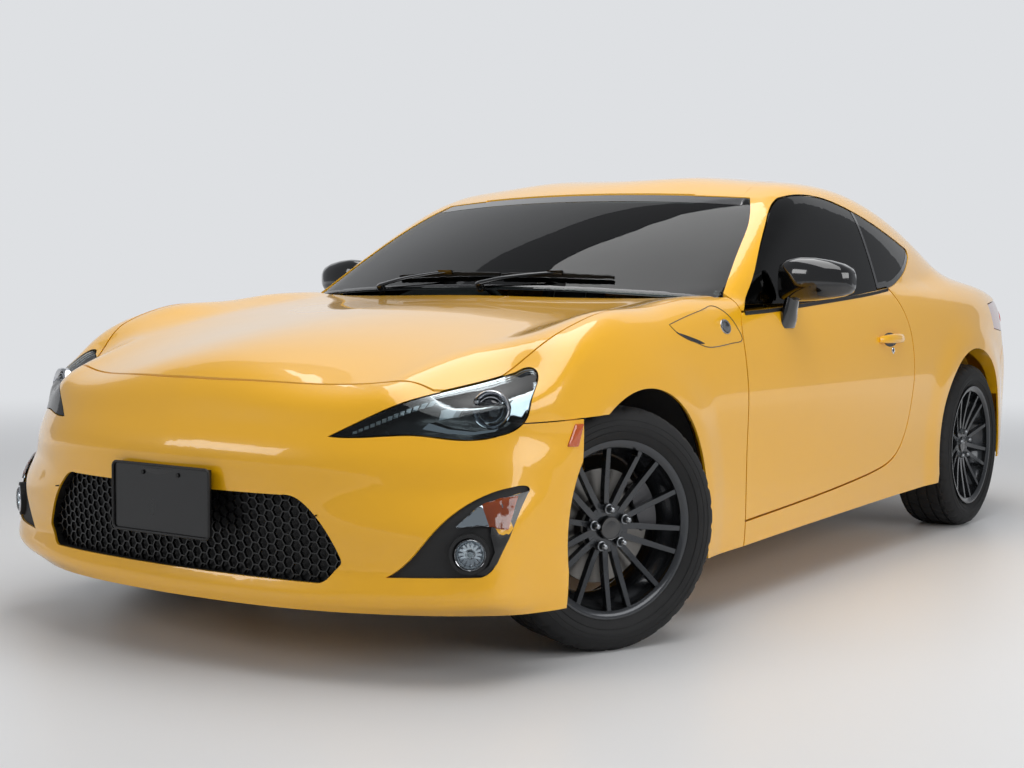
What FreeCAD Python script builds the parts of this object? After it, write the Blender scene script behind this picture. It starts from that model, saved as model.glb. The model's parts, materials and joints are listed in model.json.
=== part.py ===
import FreeCAD, Part
import bisect
import math
import os
from functools import lru_cache

Vector = FreeCAD.Vector
os.makedirs("parts", exist_ok=True)

# Driving sizes of the whole car, in millimetres.
# The front faces -Y, the car's left is +X, the ground is z = 0, mid-wheelbase is y = 0.
wheelbase = 2570.0
front_overhang = 835.0
rear_overhang = 835.0
half_width = 887.5
roof_height = 1305.0
bonnet_height = 893.0
belt_height = 880.0
deck_height = 985.0
sill_height = 176.0

# Wheels and tyres.
tyre_radius = 312.5
tyre_width = 215.0
rim_radius = 215.9
front_track = 1520.0
rear_track = 1540.0
wheel_bolts = 5
wheel_bolt_circle = 100.0
wheel_bolt_hole = 6.0

# Steering: the stored pose is turned to the car's right as in the photograph.
kingpin_inset = 60.0
steer_at_rest = -25.0

# Thicknesses and gaps.
skin = 7.0
bonnet_skin = 16.0
lid_skin = 18.0
roof_skin = 14.0
door_depth = 74.0
side_depth = 92.0
pillar_depth = 46.0
glass_thickness = 5.0
glass_inset = 3.0
shut_gap = 6.0
panel_gap = 3.0
seat_gap = 0.3

front_axle = -wheelbase / 2
rear_axle = wheelbase / 2
nose = front_axle - front_overhang
tail = rear_axle + rear_overhang


class Line:
    """A smooth line through a few chosen points, read at any place along it."""

    def __init__(self, *points):
        self.places = [float(p[0]) for p in points]
        self.values = [float(p[1]) for p in points]
        self.bends = self.natural_bends()

    def natural_bends(self):
        count = len(self.places)
        bends = [0.0] * count
        work = [0.0] * count
        for i in range(1, count - 1):
            before = self.places[i] - self.places[i - 1]
            after = self.places[i + 1] - self.places[i]
            share = before / (before + after)
            pivot = share * bends[i - 1] + 2.0
            turn = (self.values[i + 1] - self.values[i]) / after
            turn -= (self.values[i] - self.values[i - 1]) / before
            bends[i] = (share - 1.0) / pivot
            work[i] = (6.0 * turn / (before + after) - share * work[i - 1]) / pivot
        for i in reversed(range(count - 1)):
            bends[i] = bends[i] * bends[i + 1] + work[i]
        return bends

    def __call__(self, place):
        places = self.places
        values = self.values
        if place <= places[0]:
            step = places[1] - places[0]
            slope = (values[1] - values[0]) / step - step * self.bends[1] / 6.0
            return values[0] + slope * (place - places[0])
        if place >= places[-1]:
            step = places[-1] - places[-2]
            slope = (values[-1] - values[-2]) / step + step * self.bends[-2] / 6.0
            return values[-1] + slope * (place - places[-1])
        i = bisect.bisect_right(places, place)
        step = places[i] - places[i - 1]
        a = (places[i] - place) / step
        b = 1.0 - a
        bend = (a ** 3 - a) * self.bends[i - 1] + (b ** 3 - b) * self.bends[i]
        return a * values[i - 1] + b * values[i] + bend * step * step / 6.0


def smooth_step(t):
    t = min(max(t, 0.0), 1.0)
    return t * t * (3.0 - 2.0 * t)


def rounded_least(a, b, round_over):
    h = max(round_over - abs(a - b), 0.0) / round_over
    return min(a, b) - h * h * h * round_over / 6.0


def rounded_most(a, b, round_over):
    return -rounded_least(-a, -b, round_over)


# Lines that shape the lower body: heights along the car at the centre, in the valley
# between bonnet and wing, and along the crest of the wing, then how far out each lies.
centre_line = Line(
    (nose, bonnet_height - 270), (nose + 108, bonnet_height - 189), (nose + 210, bonnet_height - 146),
    (front_axle - 420, bonnet_height - 100), (front_axle - 210, bonnet_height - 70),
    (front_axle, bonnet_height - 45), (front_axle + 285, bonnet_height - 17),
    (front_axle + 455, bonnet_height), (-400, bonnet_height + 20), (300, deck_height - 40),
    (rear_axle - 80, deck_height + 8), (rear_axle + 240, deck_height + 12), (rear_axle + 415, deck_height + 5),
    (rear_axle + 615, deck_height), (rear_axle + 700, deck_height + 10), (tail, deck_height + 20))
valley_line = Line(
    (nose, bonnet_height - 300), (nose + 235, bonnet_height - 202), (front_axle - 420, bonnet_height - 146),
    (front_axle - 210, bonnet_height - 100), (front_axle, bonnet_height - 66),
    (front_axle + 285, bonnet_height - 32), (front_axle + 455, bonnet_height - 12),
    (-400, bonnet_height + 10), (300, deck_height - 50),
    (rear_axle - 80, deck_height - 8), (rear_axle + 240, deck_height - 8), (rear_axle + 415, deck_height - 14),
    (rear_axle + 615, deck_height - 20), (rear_axle + 705, deck_height - 12), (tail, deck_height - 12))
crest_line = Line(
    (nose, bonnet_height - 420), (nose + 240, bonnet_height - 270), (front_axle - 402, bonnet_height - 190),
    (front_axle - 300, bonnet_height - 116), (front_axle - 186, bonnet_height - 68),
    (front_axle - 73, bonnet_height - 39), (front_axle + 165, bonnet_height - 23),
    (front_axle + 361, bonnet_height - 2), (front_axle + 620, bonnet_height + 4),
    (-350, belt_height + 30), (0, belt_height + 45), (400, belt_height + 64), (700, belt_height + 78),
    (1000, deck_height - 28), (rear_axle - 30, deck_height - 28), (rear_axle + 320, deck_height - 40),
    (rear_axle + 520, deck_height - 66), (rear_axle + 666, deck_height - 100),
    (tail, deck_height - 140))
valley_place = Line((nose, 520), (front_axle, 600), (-400, 600), (700, 540), (rear_axle, 500), (tail, 500))
crest_place = Line(
    (nose, 640), (nose + 435, 735), (front_axle, 772), (-500, 775), (0, 790), (700, 770),
    (rear_axle, 745), (rear_axle + 420, 715), (tail, 670))

# How far out the side stands along the car, and how it draws in with height.
plan_line = Line(
    (nose, half_width - 60), (front_axle - 500, half_width - 26), (front_axle - 250, half_width - 8),
    (front_axle, half_width - 2), (front_axle + 300, half_width - 6), (-600, half_width - 14),
    (0, half_width - 18), (500, half_width - 16), (900, half_width - 8), (rear_axle, half_width),
    (rear_axle + 250, half_width - 10), (rear_axle + 450, half_width - 36), (tail, half_width - 110))
side_draw = Line(
    (120, 16), (178, 9), (259, 5), (420, 4), (520, 2), (600, 0), (690, 5), (760, 14), (800, 23),
    (850, 38), (900, 60), (960, 100), (1040, 180))
crest_round = Line(
    (nose, 60), (front_axle - 400, 80), (front_axle, 125), (-600, 95), (0, 80), (700, 110),
    (rear_axle, 170), (rear_axle + 500, 120), (tail, 80))

# Nose and tail: how far forward or back the centre stands at each height, and how the
# plan falls away towards the corners, low at the lip and higher at the lamps.
nose_centre = Line(
    (120, 45), (165, 30), (195, 19), (240, 32), (300, 34), (380, 24), (433, 16), (490, 8), (545, 15),
    (590, 42), (640, 68), (700, 112), (760, 190))
nose_plan = Line(
    (0, 0), (250, 16), (400, 44), (520, 84), (600, 122), (650, 150), (724, 200), (800, 270), (850, 345),
    (half_width, 450))
corner_share = Line(
    (120, 1.1), (165, 1.03), (180, 0.88), (220, 0.72), (250, 0.70), (300, 0.73), (350, 0.76), (400, 0.87),
    (450, 1.04), (500, 1.11), (565, 1.16), (600, 1.10), (650, 1.03), (700, 1.0), (760, 1.0))
tail_centre = Line(
    (150, 90), (250, 55), (350, 22), (450, 5), (560, 0), (640, 12), (700, 34), (800, 52), (900, 82),
    (985, 122), (1060, 160))
tail_plan = Line(
    (0, 0), (300, 14), (500, 45), (650, 100), (740, 165), (800, 238), (840, 320), (870, 430),
    (half_width, 540))
nose_round = 46.0
tail_round = 40.0
arch_radius_front = 350.0
arch_radius_rear = 376.0
flare_reach = 120.0
flare_height = 9.0


@lru_cache(maxsize=None)
def station(y):
    return (centre_line(y), valley_line(y), crest_line(y), valley_place(y), crest_place(y),
            plan_line(y), max(crest_round(y), 30.0))


def top_height(x, y):
    centre, valley, crest, valley_x, crest_x, _, _ = station(y)
    inner = smooth_step(x / valley_x)
    outer = smooth_step((x - valley_x) / (crest_x - valley_x))
    beyond = max(x - crest_x, 0.0)
    return centre + (valley - centre) * inner + (crest - valley) * outer - beyond * beyond / 900.0


def flare(y, z):
    raise_out = 0.0
    for axle, radius in ((front_axle, arch_radius_front), (rear_axle, arch_radius_rear)):
        away = math.hypot(y - axle, z - tyre_radius) - radius
        raise_out += flare_height * (1.0 - smooth_step(abs(away - 20.0) / flare_reach))
    return raise_out


def side_place(y, z):
    return station(y)[5] - side_draw(z) - flare_height + flare(y, z)


def nose_place(x, z):
    return nose + nose_centre(z) + corner_share(z) * nose_plan(x)


def tail_place(x, z):
    return tail - tail_centre(z) - tail_plan(x)


def lower_body(x, y, z):
    """Depth inside the lower body's skin: zero on the skin, more towards the inside."""
    x = abs(x)
    depth = rounded_least(top_height(x, y) - z, side_place(y, z) - x, station(y)[6])
    if y < front_axle:
        depth = rounded_least(depth, y - nose_place(x, z), nose_round)
    if y > rear_axle:
        depth = rounded_least(depth, tail_place(x, z) - y, tail_round)
    return depth


# Lines of the glasshouse: the centre profile, how its levels bow in plan, and the side.
roof_line = Line(
    (-1000, roof_height - 485), (-830, roof_height - 393), (-600, roof_height - 264),
    (-400, roof_height - 161), (-250, roof_height - 93), (-140, roof_height - 54), (-40, roof_height - 27),
    (100, roof_height - 8), (300, roof_height), (500, roof_height - 5), (700, roof_height - 26),
    (900, roof_height - 66), (1150, roof_height - 138), (1400, roof_height - 224),
    (1600, roof_height - 304), (1800, roof_height - 390))
roof_bow = Line((-800, 175), (-300, 170), (-50, 110), (250, 0), (650, -80), (1100, -110), (1700, -110))
roof_crown = Line((-900, 4), (-300, 8), (0, 18), (500, 24), (1000, 22), (1700, 14))
glass_side = Line(
    (-1000, 770), (-560, 798), (-200, 808), (100, 808), (450, 800), (700, 788), (1000, 766),
    (1200, 746), (1500, 705), (1800, 655))
side_lean = 0.18
side_curl = 0.00024
rail_round = Line((-900, 80), (-500, 90), (-200, 110), (100, 150), (500, 190), (1700, 190))
bubble_height = 8.0


@lru_cache(maxsize=None)
def roof_station(y):
    return (roof_bow(y), roof_crown(y), glass_side(y), rail_round(y))


def roof_top(x, y):
    bow, crown, _, _ = roof_station(y)
    share = x / 767.0
    height = roof_line(y - bow * share * share) - crown * (x / 550.0) ** 2
    between = smooth_step((y + 150.0) / 250.0) * smooth_step((1000.0 - y) / 350.0)
    return height + bubble_height * between * (math.exp(-((x - 280.0) / 150.0) ** 2) - 0.5)


def glasshouse(x, y, z):
    """Depth inside the skin of roof, pillars and glass."""
    x = abs(x)
    rise = z - belt_height
    side = roof_station(y)[2] - side_lean * rise - side_curl * rise * rise
    return rounded_least(roof_top(x, y) - z, side - x, roof_station(y)[3])


def whole_body(x, y, z):
    """Depth inside the body with the glasshouse run into the rear wings."""
    run_in = 14.0 + 90.0 * smooth_step((y - 900.0) / 400.0)
    return rounded_most(lower_body(x, y, z), glasshouse(x, y, z), run_in)


def skin_point(field, level, start, aim):
    """Where the way from start past aim leaves the depth named by level."""
    way = [aim[i] - start[i] for i in range(3)]

    def depth(t):
        return field(start[0] + way[0] * t, start[1] + way[1] * t, start[2] + way[2] * t) - level

    low = 0.0
    low_depth = depth(low)
    high = 0.5
    high_depth = depth(high)
    while high_depth > 0.0 and high < 4.0:
        low, low_depth = high, high_depth
        high += 0.25
        high_depth = depth(high)
    for _ in range(12):
        if abs(high_depth) < 0.01 or high - low < 1e-6:
            break
        share = low_depth / (low_depth - high_depth)
        share = min(max(share, 0.06), 0.94)
        middle = low + (high - low) * share
        middle_depth = depth(middle)
        if middle_depth > 0.0:
            low, low_depth = middle, middle_depth
        else:
            high, high_depth = middle, middle_depth
    t = low + (high - low) * low_depth / max(low_depth - high_depth, 1e-9)
    return Vector(start[0] + way[0] * t, start[1] + way[1] * t, start[2] + way[2] * t)


def spread(first, last, count):
    return [first + (last - first) * i / (count - 1) for i in range(count)]


def faired(net):
    """Moves the net's inner points out, so that the spline through it keeps to them."""
    rows = len(net)
    columns = len(net[0])
    across = [[net[i][j] if j in (0, columns - 1) else
               net[i][j] * (4 / 3) - (net[i][j - 1] + net[i][j + 1]) / 6
               for j in range(columns)] for i in range(rows)]
    return [[across[i][j] if i in (0, rows - 1) else
             across[i][j] * (4 / 3) - (across[i - 1][j] + across[i + 1][j]) / 6
             for j in range(columns)] for i in range(rows)]


def spline_face(net):
    """A face whose net of poles is given, cubic, or straight where there are two rows."""
    degrees = [min(3, len(net) - 1), min(3, len(net[0]) - 1)]
    knots = []
    mults = []
    for count, degree in zip((len(net), len(net[0])), degrees):
        inner = count - degree
        knots.append([float(i) for i in range(inner + 1)])
        mults.append([degree + 1] + [1] * (inner - 1) + [degree + 1])
    surface = Part.BSplineSurface()
    surface.buildFromPolesMultsKnots(
        net, mults[0], mults[1], knots[0], knots[1], False, False, degrees[0], degrees[1])
    return surface.toShape()


def solid_from(faces):
    shell = Part.Shell(faces)
    shell.sewShape()
    solid = Part.Solid(shell)
    if solid.Volume < 0:
        solid.reverse()
    return solid


def thick_patch(outer, inner):
    """A solid between two nets of the same size."""
    outer = faired(outer)
    inner = faired(inner)
    faces = [spline_face(outer), spline_face(inner)]
    faces.append(spline_face([outer[0], inner[0]]))
    faces.append(spline_face([outer[-1], inner[-1]]))
    faces.append(spline_face([[row[0] for row in outer], [row[0] for row in inner]]))
    faces.append(spline_face([[row[-1] for row in outer], [row[-1] for row in inner]]))
    return solid_from(faces)


def section_patch(field, places, centre, aims, level_out, level_in):
    """A thick patch from sections across the car, each looked at from one centre."""
    def net(level):
        rows = []
        for y in places:
            row = []
            for x, z in aims:
                depth = level(y, z) if callable(level) else level
                row.append(skin_point(field, depth, (centre[0], y, centre[1]), (x, y, z)))
            rows.append(row)
        return rows
    return thick_patch(net(level_out), net(level_in))


def fan_patch(field, centre, turns, rises, forward, level_out, level_in):
    """A thick patch around the nose or the tail, looked at from one centre."""
    def net(level):
        rows = []
        for turn in turns:
            row = []
            for rise in rises:
                a = math.radians(turn)
                b = math.radians(rise)
                aim = (centre[0] + 900 * math.sin(a) * math.cos(b),
                       centre[1] + forward * 900 * math.cos(a) * math.cos(b),
                       centre[2] + 900 * math.sin(b))
                row.append(skin_point(field, level, centre, aim))
            rows.append(row)
        return rows
    return thick_patch(net(level_out), net(level_in))


def long_patch(field, across, centre, swings, level_out, level_in):
    """A thick patch from cuts along the car, each swung from front to rear."""
    def net(level):
        rows = []
        for x in across:
            row = []
            for swing in swings:
                a = math.radians(swing)
                aim = (x, centre[0] - 900 * math.cos(a), centre[1] + 900 * math.sin(a))
                row.append(skin_point(field, level, (x, centre[0], centre[1]), aim))
            rows.append(row)
        return rows
    return thick_patch(net(level_out), net(level_in))


def outline_wire(runs, place):
    """A closed wire from runs of points: each run is one smooth line, runs meet in corners."""
    edges = []
    for run in runs:
        points = [place(*p) for p in run]
        if len(points) == 2:
            edges.append(Part.LineSegment(points[0], points[1]).toShape())
        else:
            curve = Part.BSplineCurve()
            curve.interpolate(points)
            edges.append(curve.toShape())
    return Part.Wire(edges)


def side_prism(runs, low, high):
    """An outline seen from the side, as y and z, made thick from x = low to x = high."""
    face = Part.Face(outline_wire(runs, lambda y, z: Vector(low, y, z)))
    return face.extrude(Vector(high - low, 0, 0))


def plan_prism(runs, low, high):
    """An outline seen from above, as x and y, made thick from z = low to z = high."""
    face = Part.Face(outline_wire(runs, lambda x, y: Vector(x, y, low)))
    return face.extrude(Vector(0, 0, high - low))


def front_prism(runs, low, high):
    """An outline seen from the front, as x and z, made thick from y = low to y = high."""
    face = Part.Face(outline_wire(runs, lambda x, z: Vector(x, low, z)))
    return face.extrude(Vector(0, high - low, 0))


def corner_runs(points):
    """Straight runs round a polygon."""
    return [[points[i], points[(i + 1) % len(points)]] for i in range(len(points))]


def box(x0, x1, y0, y1, z0, z1):
    return Part.makeBox(x1 - x0, y1 - y0, z1 - z0, Vector(x0, y0, z0))


def rod(radius, start, end):
    start = Vector(*start)
    way = Vector(*end) - start
    return Part.makeCylinder(radius, way.Length, start, way)


def mirrored(shape):
    return shape.mirror(Vector(0, 0, 0), Vector(1, 0, 0))


def joined(shapes):
    return shapes[0].fuse(shapes[1:])


def biggest(shape):
    return max(shape.Solids, key=lambda s: s.Volume)


def save(name, *solids):
    """Writes one node; loose solids of like kind share the file as a compound."""
    found = []
    for shape in solids:
        found.extend(shape.Solids)
    whole = found[0] if len(found) == 1 else Part.Compound(found)
    whole.exportStep(f"parts/{name}.step")
    print(name, len(found), round(sum(s.Volume for s in found) / 1e6, 2), whole.isValid())


# Outlines of the panels. Those seen from the side are y and z, from above x and y,
# from the front x and z. Runs are smooth; neighbouring runs meet in a corner.
window_outline = [
    [(-641, 846), (-540, 906), (-415, 1013), (-262, 1119), (-154, 1181), (-95, 1205)],
    [(-95, 1205), (-12, 1219), (75, 1223), (225, 1215), (368, 1193), (533, 1160), (678, 1125), (840, 1083),
     (910, 1064)],
    [(910, 1064), (915, 1045), (889, 1020), (799, 972), (680, 935)],
    [(680, 935), (590, 920), (415, 906), (192, 891), (-171, 871), (-442, 856), (-641, 846)]]
door_outline = [
    [(-641, 846), (-668, 815), (-677, 770), (-673, 680), (-669, 590), (-669, 420), (-669, 252)],
    [(-669, 252), (-287, 265), (0, 279), (261, 297)],
    [(261, 297), (400, 313), (520, 352), (600, 430), (646, 550), (660, 650), (656, 740), (640, 815),
     (612, 868), (580, 919)],
    [(580, 919), (415, 906), (192, 891), (-171, 871), (-442, 856), (-641, 846)]]
bonnet_side = [(718, -1667), (740, -1615), (757, -1563), (766, -1500), (770, -1420), (772, -1285),
               (772, -1000), (768, -712)]
bonnet_rear = [(768, -712), (600, -775), (370, -828), (0, -862)]
bonnet_lamp = [(623, -1837), (672, -1762), (718, -1667)]
bonnet_front = [(0, -2009), (220, -1986), (440, -1912), (623, -1837)]
screen_side = [(773, -676), (740, -553), (707, -424), (676, -306), (636, -211), (598, -138)]
screen_low = [(0, -822), (370, -790), (600, -737), (773, -676)]
screen_top = [(598, -138), (300, -192), (0, -212)]
roof_side = [(572, -131), (556, -51), (538, 76), (526, 260), (526, 480), (534, 700), (548, 880)]
rear_screen_top = [(548, 880), (280, 862), (0, 855)]
rear_screen_side = [(548, 880), (572, 1060), (592, 1240), (600, 1428)]
rear_screen_low = [(600, 1428), (400, 1500), (0, 1541)]
lid_front = [(0, 1548), (400, 1508), (598, 1436)]
lid_side = [(598, 1436), (598, 1560), (590, 1700), (576, 1860), (570, 2000), (568, 2200)]
lamp_outline = [
    [(460, 572), (520, 606), (623, 662), (690, 692), (740, 712)],
    [(740, 712), (765, 724), (792, 716), (812, 690), (822, 655), (822, 620), (812, 597), (785, 578)],
    [(785, 578), (747, 568), (700, 570), (640, 578), (560, 575), (460, 572)]]
grille_outline = [
    [(-355, 434), (355, 434)],
    [(355, 434), (392, 430), (420, 412), (500, 300), (504, 284), (492, 268), (468, 241), (452, 234)],
    [(452, 234), (-452, 234)],
    [(-452, 234), (-468, 241), (-492, 268), (-504, 284), (-500, 300), (-420, 412), (-392, 430),
     (-355, 434)]]
fog_outline = [
    [(608, 256), (801, 262)],
    [(801, 262), (815, 272), (824, 292), (842, 446)],
    [(842, 446), (838, 460), (822, 460)],
    [(822, 460), (775, 439), (707, 365), (608, 256)]]
tail_lamp_outline = [
    [(600, 735), (640, 722), (720, 718), (800, 735), (860, 770)],
    [(860, 770), (850, 830), (800, 862), (720, 872), (640, 866), (600, 850)],
    [(600, 850), (600, 735)]]

bumper_split = 604.0
rear_split = 700.0
rear_bumper_bottom = 235.0
quarter_end = 1860.0


def both_sides(run):
    """A run from the middle outwards, gone on to the other side, from right to left."""
    return [(-x, y) for x, y in reversed(run)] + [p for p in run if p[0] > 0]


def side_of(run):
    return [(-x, y) for x, y in reversed(run)]


def grown(runs, gap):
    """The same outline with every edge moved out by gap, or in where gap is negative."""
    loop = []
    for run in runs:
        loop.extend(run[:-1])
    count = len(loop)
    area = sum(loop[i][0] * loop[(i + 1) % count][1] - loop[(i + 1) % count][0] * loop[i][1]
               for i in range(count))
    turn = 1.0 if area > 0 else -1.0
    moved = []
    for i in range(count):
        before, here, after = loop[i - 1], loop[i], loop[(i + 1) % count]
        a = (here[0] - before[0], here[1] - before[1])
        b = (after[0] - here[0], after[1] - here[1])
        la = math.hypot(*a)
        lb = math.hypot(*b)
        na = (a[1] / la * turn, -a[0] / la * turn)
        nb = (b[1] / lb * turn, -b[0] / lb * turn)
        mean = (na[0] + nb[0], na[1] + nb[1])
        size = max(1.0 + na[0] * nb[0] + na[1] * nb[1], 0.3)
        moved.append((here[0] + mean[0] / size * gap, here[1] + mean[1] / size * gap))
    result = []
    place = 0
    for run in runs:
        steps = len(run) - 1
        result.append([moved[(place + k) % count] for k in range(steps + 1)])
        place += steps
    return result


def fan_aims(centre, first, last, count):
    """Aiming points on a circle round a centre, seen across the car."""
    return [(centre[0] + 900 * math.cos(math.radians(a)), centre[1] + 900 * math.sin(math.radians(a)))
            for a in spread(first, last, count)]


def side_only(x, y, z):
    return side_place(y, z) - abs(x)


bonnet_outline = [both_sides(bonnet_front), bonnet_lamp, bonnet_side,
                  bonnet_rear + side_of(bonnet_rear)[1:], side_of(bonnet_side), side_of(bonnet_lamp)]
screen_outline = [both_sides(screen_low), screen_side, screen_top + side_of(screen_top)[1:],
                  side_of(screen_side)]
roof_outline = [[(-572, -131)] + both_sides([(0, -200), (300, -180), (572, -131)])[1:],
                roof_side, rear_screen_top + side_of(rear_screen_top)[1:], side_of(roof_side)]
rear_screen_outline = [both_sides(list(reversed(rear_screen_top))), rear_screen_side,
                       rear_screen_low + side_of(rear_screen_low)[1:], side_of(rear_screen_side)]
lid_outline = [both_sides(lid_front), lid_side, [lid_side[-1], (-lid_side[-1][0], lid_side[-1][1])],
               side_of(lid_side)]


def arch(axle, radius, front_low, rear_low):
    """The space cut through a wing for its wheel, open at the bottom."""
    centre_z = tyre_radius
    round_part = Part.makeCylinder(radius, 600, Vector(400, axle, centre_z), Vector(1, 0, 0))
    side = math.cos(math.radians(12)) * radius
    drop = centre_z - math.sin(math.radians(12)) * radius
    low = [[(axle - side, drop), (axle - front_low, 100)], [(axle - front_low, 100), (axle + rear_low, 100)],
           [(axle + rear_low, 100), (axle + side, drop)], [(axle + side, drop), (axle - side, drop)]]
    return round_part.fuse(side_prism(low, 400, 1000))


front_arch = arch(front_axle, arch_radius_front, 344, 400)
rear_arch = arch(rear_axle, arch_radius_rear, 392, 352)


# Bonnet: one skin with its turned edge, hinged at its rear corners.
bonnet_patch = long_patch(lower_body, spread(-810, 810, 45), (front_axle - 60, 330),
                          spread(14, 146, 37), 0, bonnet_skin)
bonnet = bonnet_patch.common(plan_prism(bonnet_outline, 520, 1000))
lamp_cut = front_prism(grown(lamp_outline, panel_gap), nose, front_axle - 200)
lamp_room = front_prism(grown(lamp_outline, shut_gap), nose, front_axle - 200)
bonnet = biggest(bonnet.cut([lamp_room, mirrored(lamp_room)]))
bonnet_hole = plan_prism(grown(bonnet_outline, shut_gap), 520, 1000)

# Front wings: from the lamp to the door, over the wheel.
wing_centre = (300, 480)
wing_patch = section_patch(lower_body, spread(front_axle - 560, -600, 40), wing_centre,
                           fan_aims(wing_centre, -33, 78, 36), 0, skin)
door_front = door_outline[0]
wing_rear = [(y - shut_gap, z) for y, z in door_front]
wing_outline = [
    [(-1752, bumper_split), (-1530, bumper_split + 4), (-1400, bumper_split + 6)],
    [(-1400, bumper_split + 6), (-1400, sill_height)],
    [(-1400, sill_height), (wing_rear[-1][0], sill_height)],
    [(wing_rear[-1][0], sill_height), wing_rear[-1]],
    list(reversed(wing_rear)),
    [wing_rear[0], (wing_rear[0][0], 1000)],
    [(wing_rear[0][0], 1000), (-1800, 1000)],
    [(-1800, 1000), (-1752, bumper_split)]]
wing = wing_patch.common(side_prism(wing_outline, 300, 1000))
wing = wing.cut([front_arch, bonnet_hole, lamp_cut])
cowl_side = corner_runs([(0, -900), (775, -730), (785, -560), (0, -560)])
wing = biggest(wing.cut(plan_prism(cowl_side, 700, 1000)))
save("front_wings", wing, mirrored(wing))

# Nose: the bumper's skin round the front, with the grille and fog lamp openings cut.
nose_middle = (0, front_axle + 25, 420)
nose_turns = spread(-70, 70, 61)
nose_rises = spread(-19, 33, 31)
nose_patch = fan_patch(lower_body, nose_middle, nose_turns, nose_rises, -1, 0, skin)
bumper_side = side_prism(
    [[(-2200, 60), (-1300, 60)], [(-1300, 60), (-1300, bumper_split + 6 - panel_gap)],
     [(-1300, bumper_split + 6 - panel_gap), (-1530, bumper_split + 4 - panel_gap),
      (-1752, bumper_split - panel_gap)],
     [(-1752, bumper_split - panel_gap), (-1800, 1000)], [(-1800, 1000), (-2200, 1000)],
     [(-2200, 1000), (-2200, 60)]], -1000, 1000)
bumper_low = side_prism(
    [[(-2200, 60), (-1300, 60)], [(-1300, 60), (-1300, 148)], [(-1300, 148), (-2000, 166)],
     [(-2000, 166), (-2200, 168)], [(-2200, 168), (-2200, 60)]], -1000, 1000)
grille_cut = front_prism(grille_outline, -2300, -1900)
fog_cut = front_prism(fog_outline, -2200, -1500)
front_bumper = nose_patch.common(bumper_side).cut(
    [bumper_low, bonnet_hole, lamp_cut, mirrored(lamp_cut), grille_cut, fog_cut, mirrored(fog_cut),
     front_arch, mirrored(front_arch)])
front_bumper = biggest(front_bumper)

# Doors: the outer skin with the door's whole thickness behind it, cut off at the belt.
door_centre = (300, 480)
door_span = spread(-760, 760, 44)


def door_net(field, level):
    aims = fan_aims(door_centre, -31, 43, 27)
    return [[skin_point(field, level, (door_centre[0], y, door_centre[1]), (x, y, z)) for x, z in aims]
            for y in door_span]


door_slab = thick_patch(door_net(lower_body, 0), door_net(side_only, door_depth))
door = biggest(door_slab.common(side_prism(door_outline, 500, 1000)))
door_hole = side_prism(grown(door_outline, shut_gap), 500, 1000)

# Side frames: sill, pillars, roof rail and rear wing in one pressing.
frame_centre = (150, 620)


def frame_depth(y, z):
    high = smooth_step((z - 800.0) / 120.0)
    rear = smooth_step((y - 1300.0) / 300.0)
    low = side_depth + (40.0 - side_depth) * rear
    return low + (pillar_depth - low) * high


frame_span = spread(-700, rear_axle + 610, 62)
frame_fan = fan_aims(frame_centre, -33, 66, 46)
side_slab = section_patch(whole_body, frame_span, frame_centre, frame_fan, 0, frame_depth)
window_margin = 1.0
glass_margin = 4.4
division_low = 533.0
division_high = 343.0
window_hole = side_prism(grown(window_outline, window_margin), 400, 1000)
roof_hole = plan_prism(grown(roof_outline, seat_gap), 800, 1500)
rear_screen_hole = plan_prism(grown(rear_screen_outline, seat_gap), 700, 1500)
tail_cut = front_prism(grown(tail_lamp_outline, panel_gap), 1600, 2300)
screen_hole = plan_prism(grown(screen_outline, seat_gap), 700, 1400)
lid_hole = plan_prism(grown(lid_outline, shut_gap), 600, 1500)
rear_seam = [(1600, rear_bumper_bottom + 30), (1640, 560), (1700, 640), (1800, 690), (quarter_end, rear_split)]
frame_outline = [
    [(door_front[0][0], 1500), door_front[0]],
    door_front,
    [door_front[-1], (door_front[-1][0], sill_height)],
    [(door_front[-1][0], sill_height), (920, sill_height + 26)],
    [(920, sill_height + 26), (1600, rear_bumper_bottom + 30)],
    rear_seam,
    [(quarter_end, rear_split), (quarter_end, 1500)],
    [(quarter_end, 1500), (door_front[0][0], 1500)]]
side_frame = side_slab.common(side_prism(frame_outline, 100, 1000))
side_frame = side_frame.cut([door_hole, window_hole, rear_arch, roof_hole, screen_hole,
                             rear_screen_hole, lid_hole, tail_cut])
side_frame = biggest(side_frame)
save("side_frame_left", side_frame)
save("side_frame_right", mirrored(side_frame))
save("front_bumper", front_bumper)

# Roof, screens and side glass, all from one patch over the glasshouse.
top_centre = (0, 700)
top_span = spread(-900, rear_axle + 420, 60)


def top_patch(outer, inner):
    aims = [(900 * math.cos(math.radians(a)), top_centre[1] + 900 * math.sin(math.radians(a)))
            for a in spread(12, 168, 49)]
    return section_patch(glasshouse, top_span, top_centre, aims, outer, inner)


roof_slab = top_patch(0, roof_skin)
glass_slab = top_patch(glass_inset, glass_inset + glass_thickness)
save("roof", biggest(roof_slab.common(plan_prism(roof_outline, 900, 1500))))
save("windscreen", biggest(glass_slab.common(plan_prism(screen_outline, 800, 1400))))
save("rear_screen", biggest(glass_slab.common(plan_prism(rear_screen_outline, 800, 1500))))
glass_outline = grown(window_outline, -glass_margin)
glass_outline[3] = [(y, z - 12) for y, z in window_outline[3]]
glass_outline[2] = glass_outline[2][:-1] + [glass_outline[3][0]]
glass_outline[0] = [glass_outline[3][-1]] + glass_outline[0][1:]
before_division = side_prism(corner_runs(
    [(-900, 700), (division_low, 700), (division_high, 1400), (-900, 1400)]), 400, 1000)
behind_division = side_prism(corner_runs(
    [(division_low + shut_gap, 700), (1200, 700), (1200, 1400), (division_high + shut_gap, 1400)]), 400, 1000)
door_seat = side_prism(grown(door_outline, seat_gap), 400, 1000)
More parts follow.
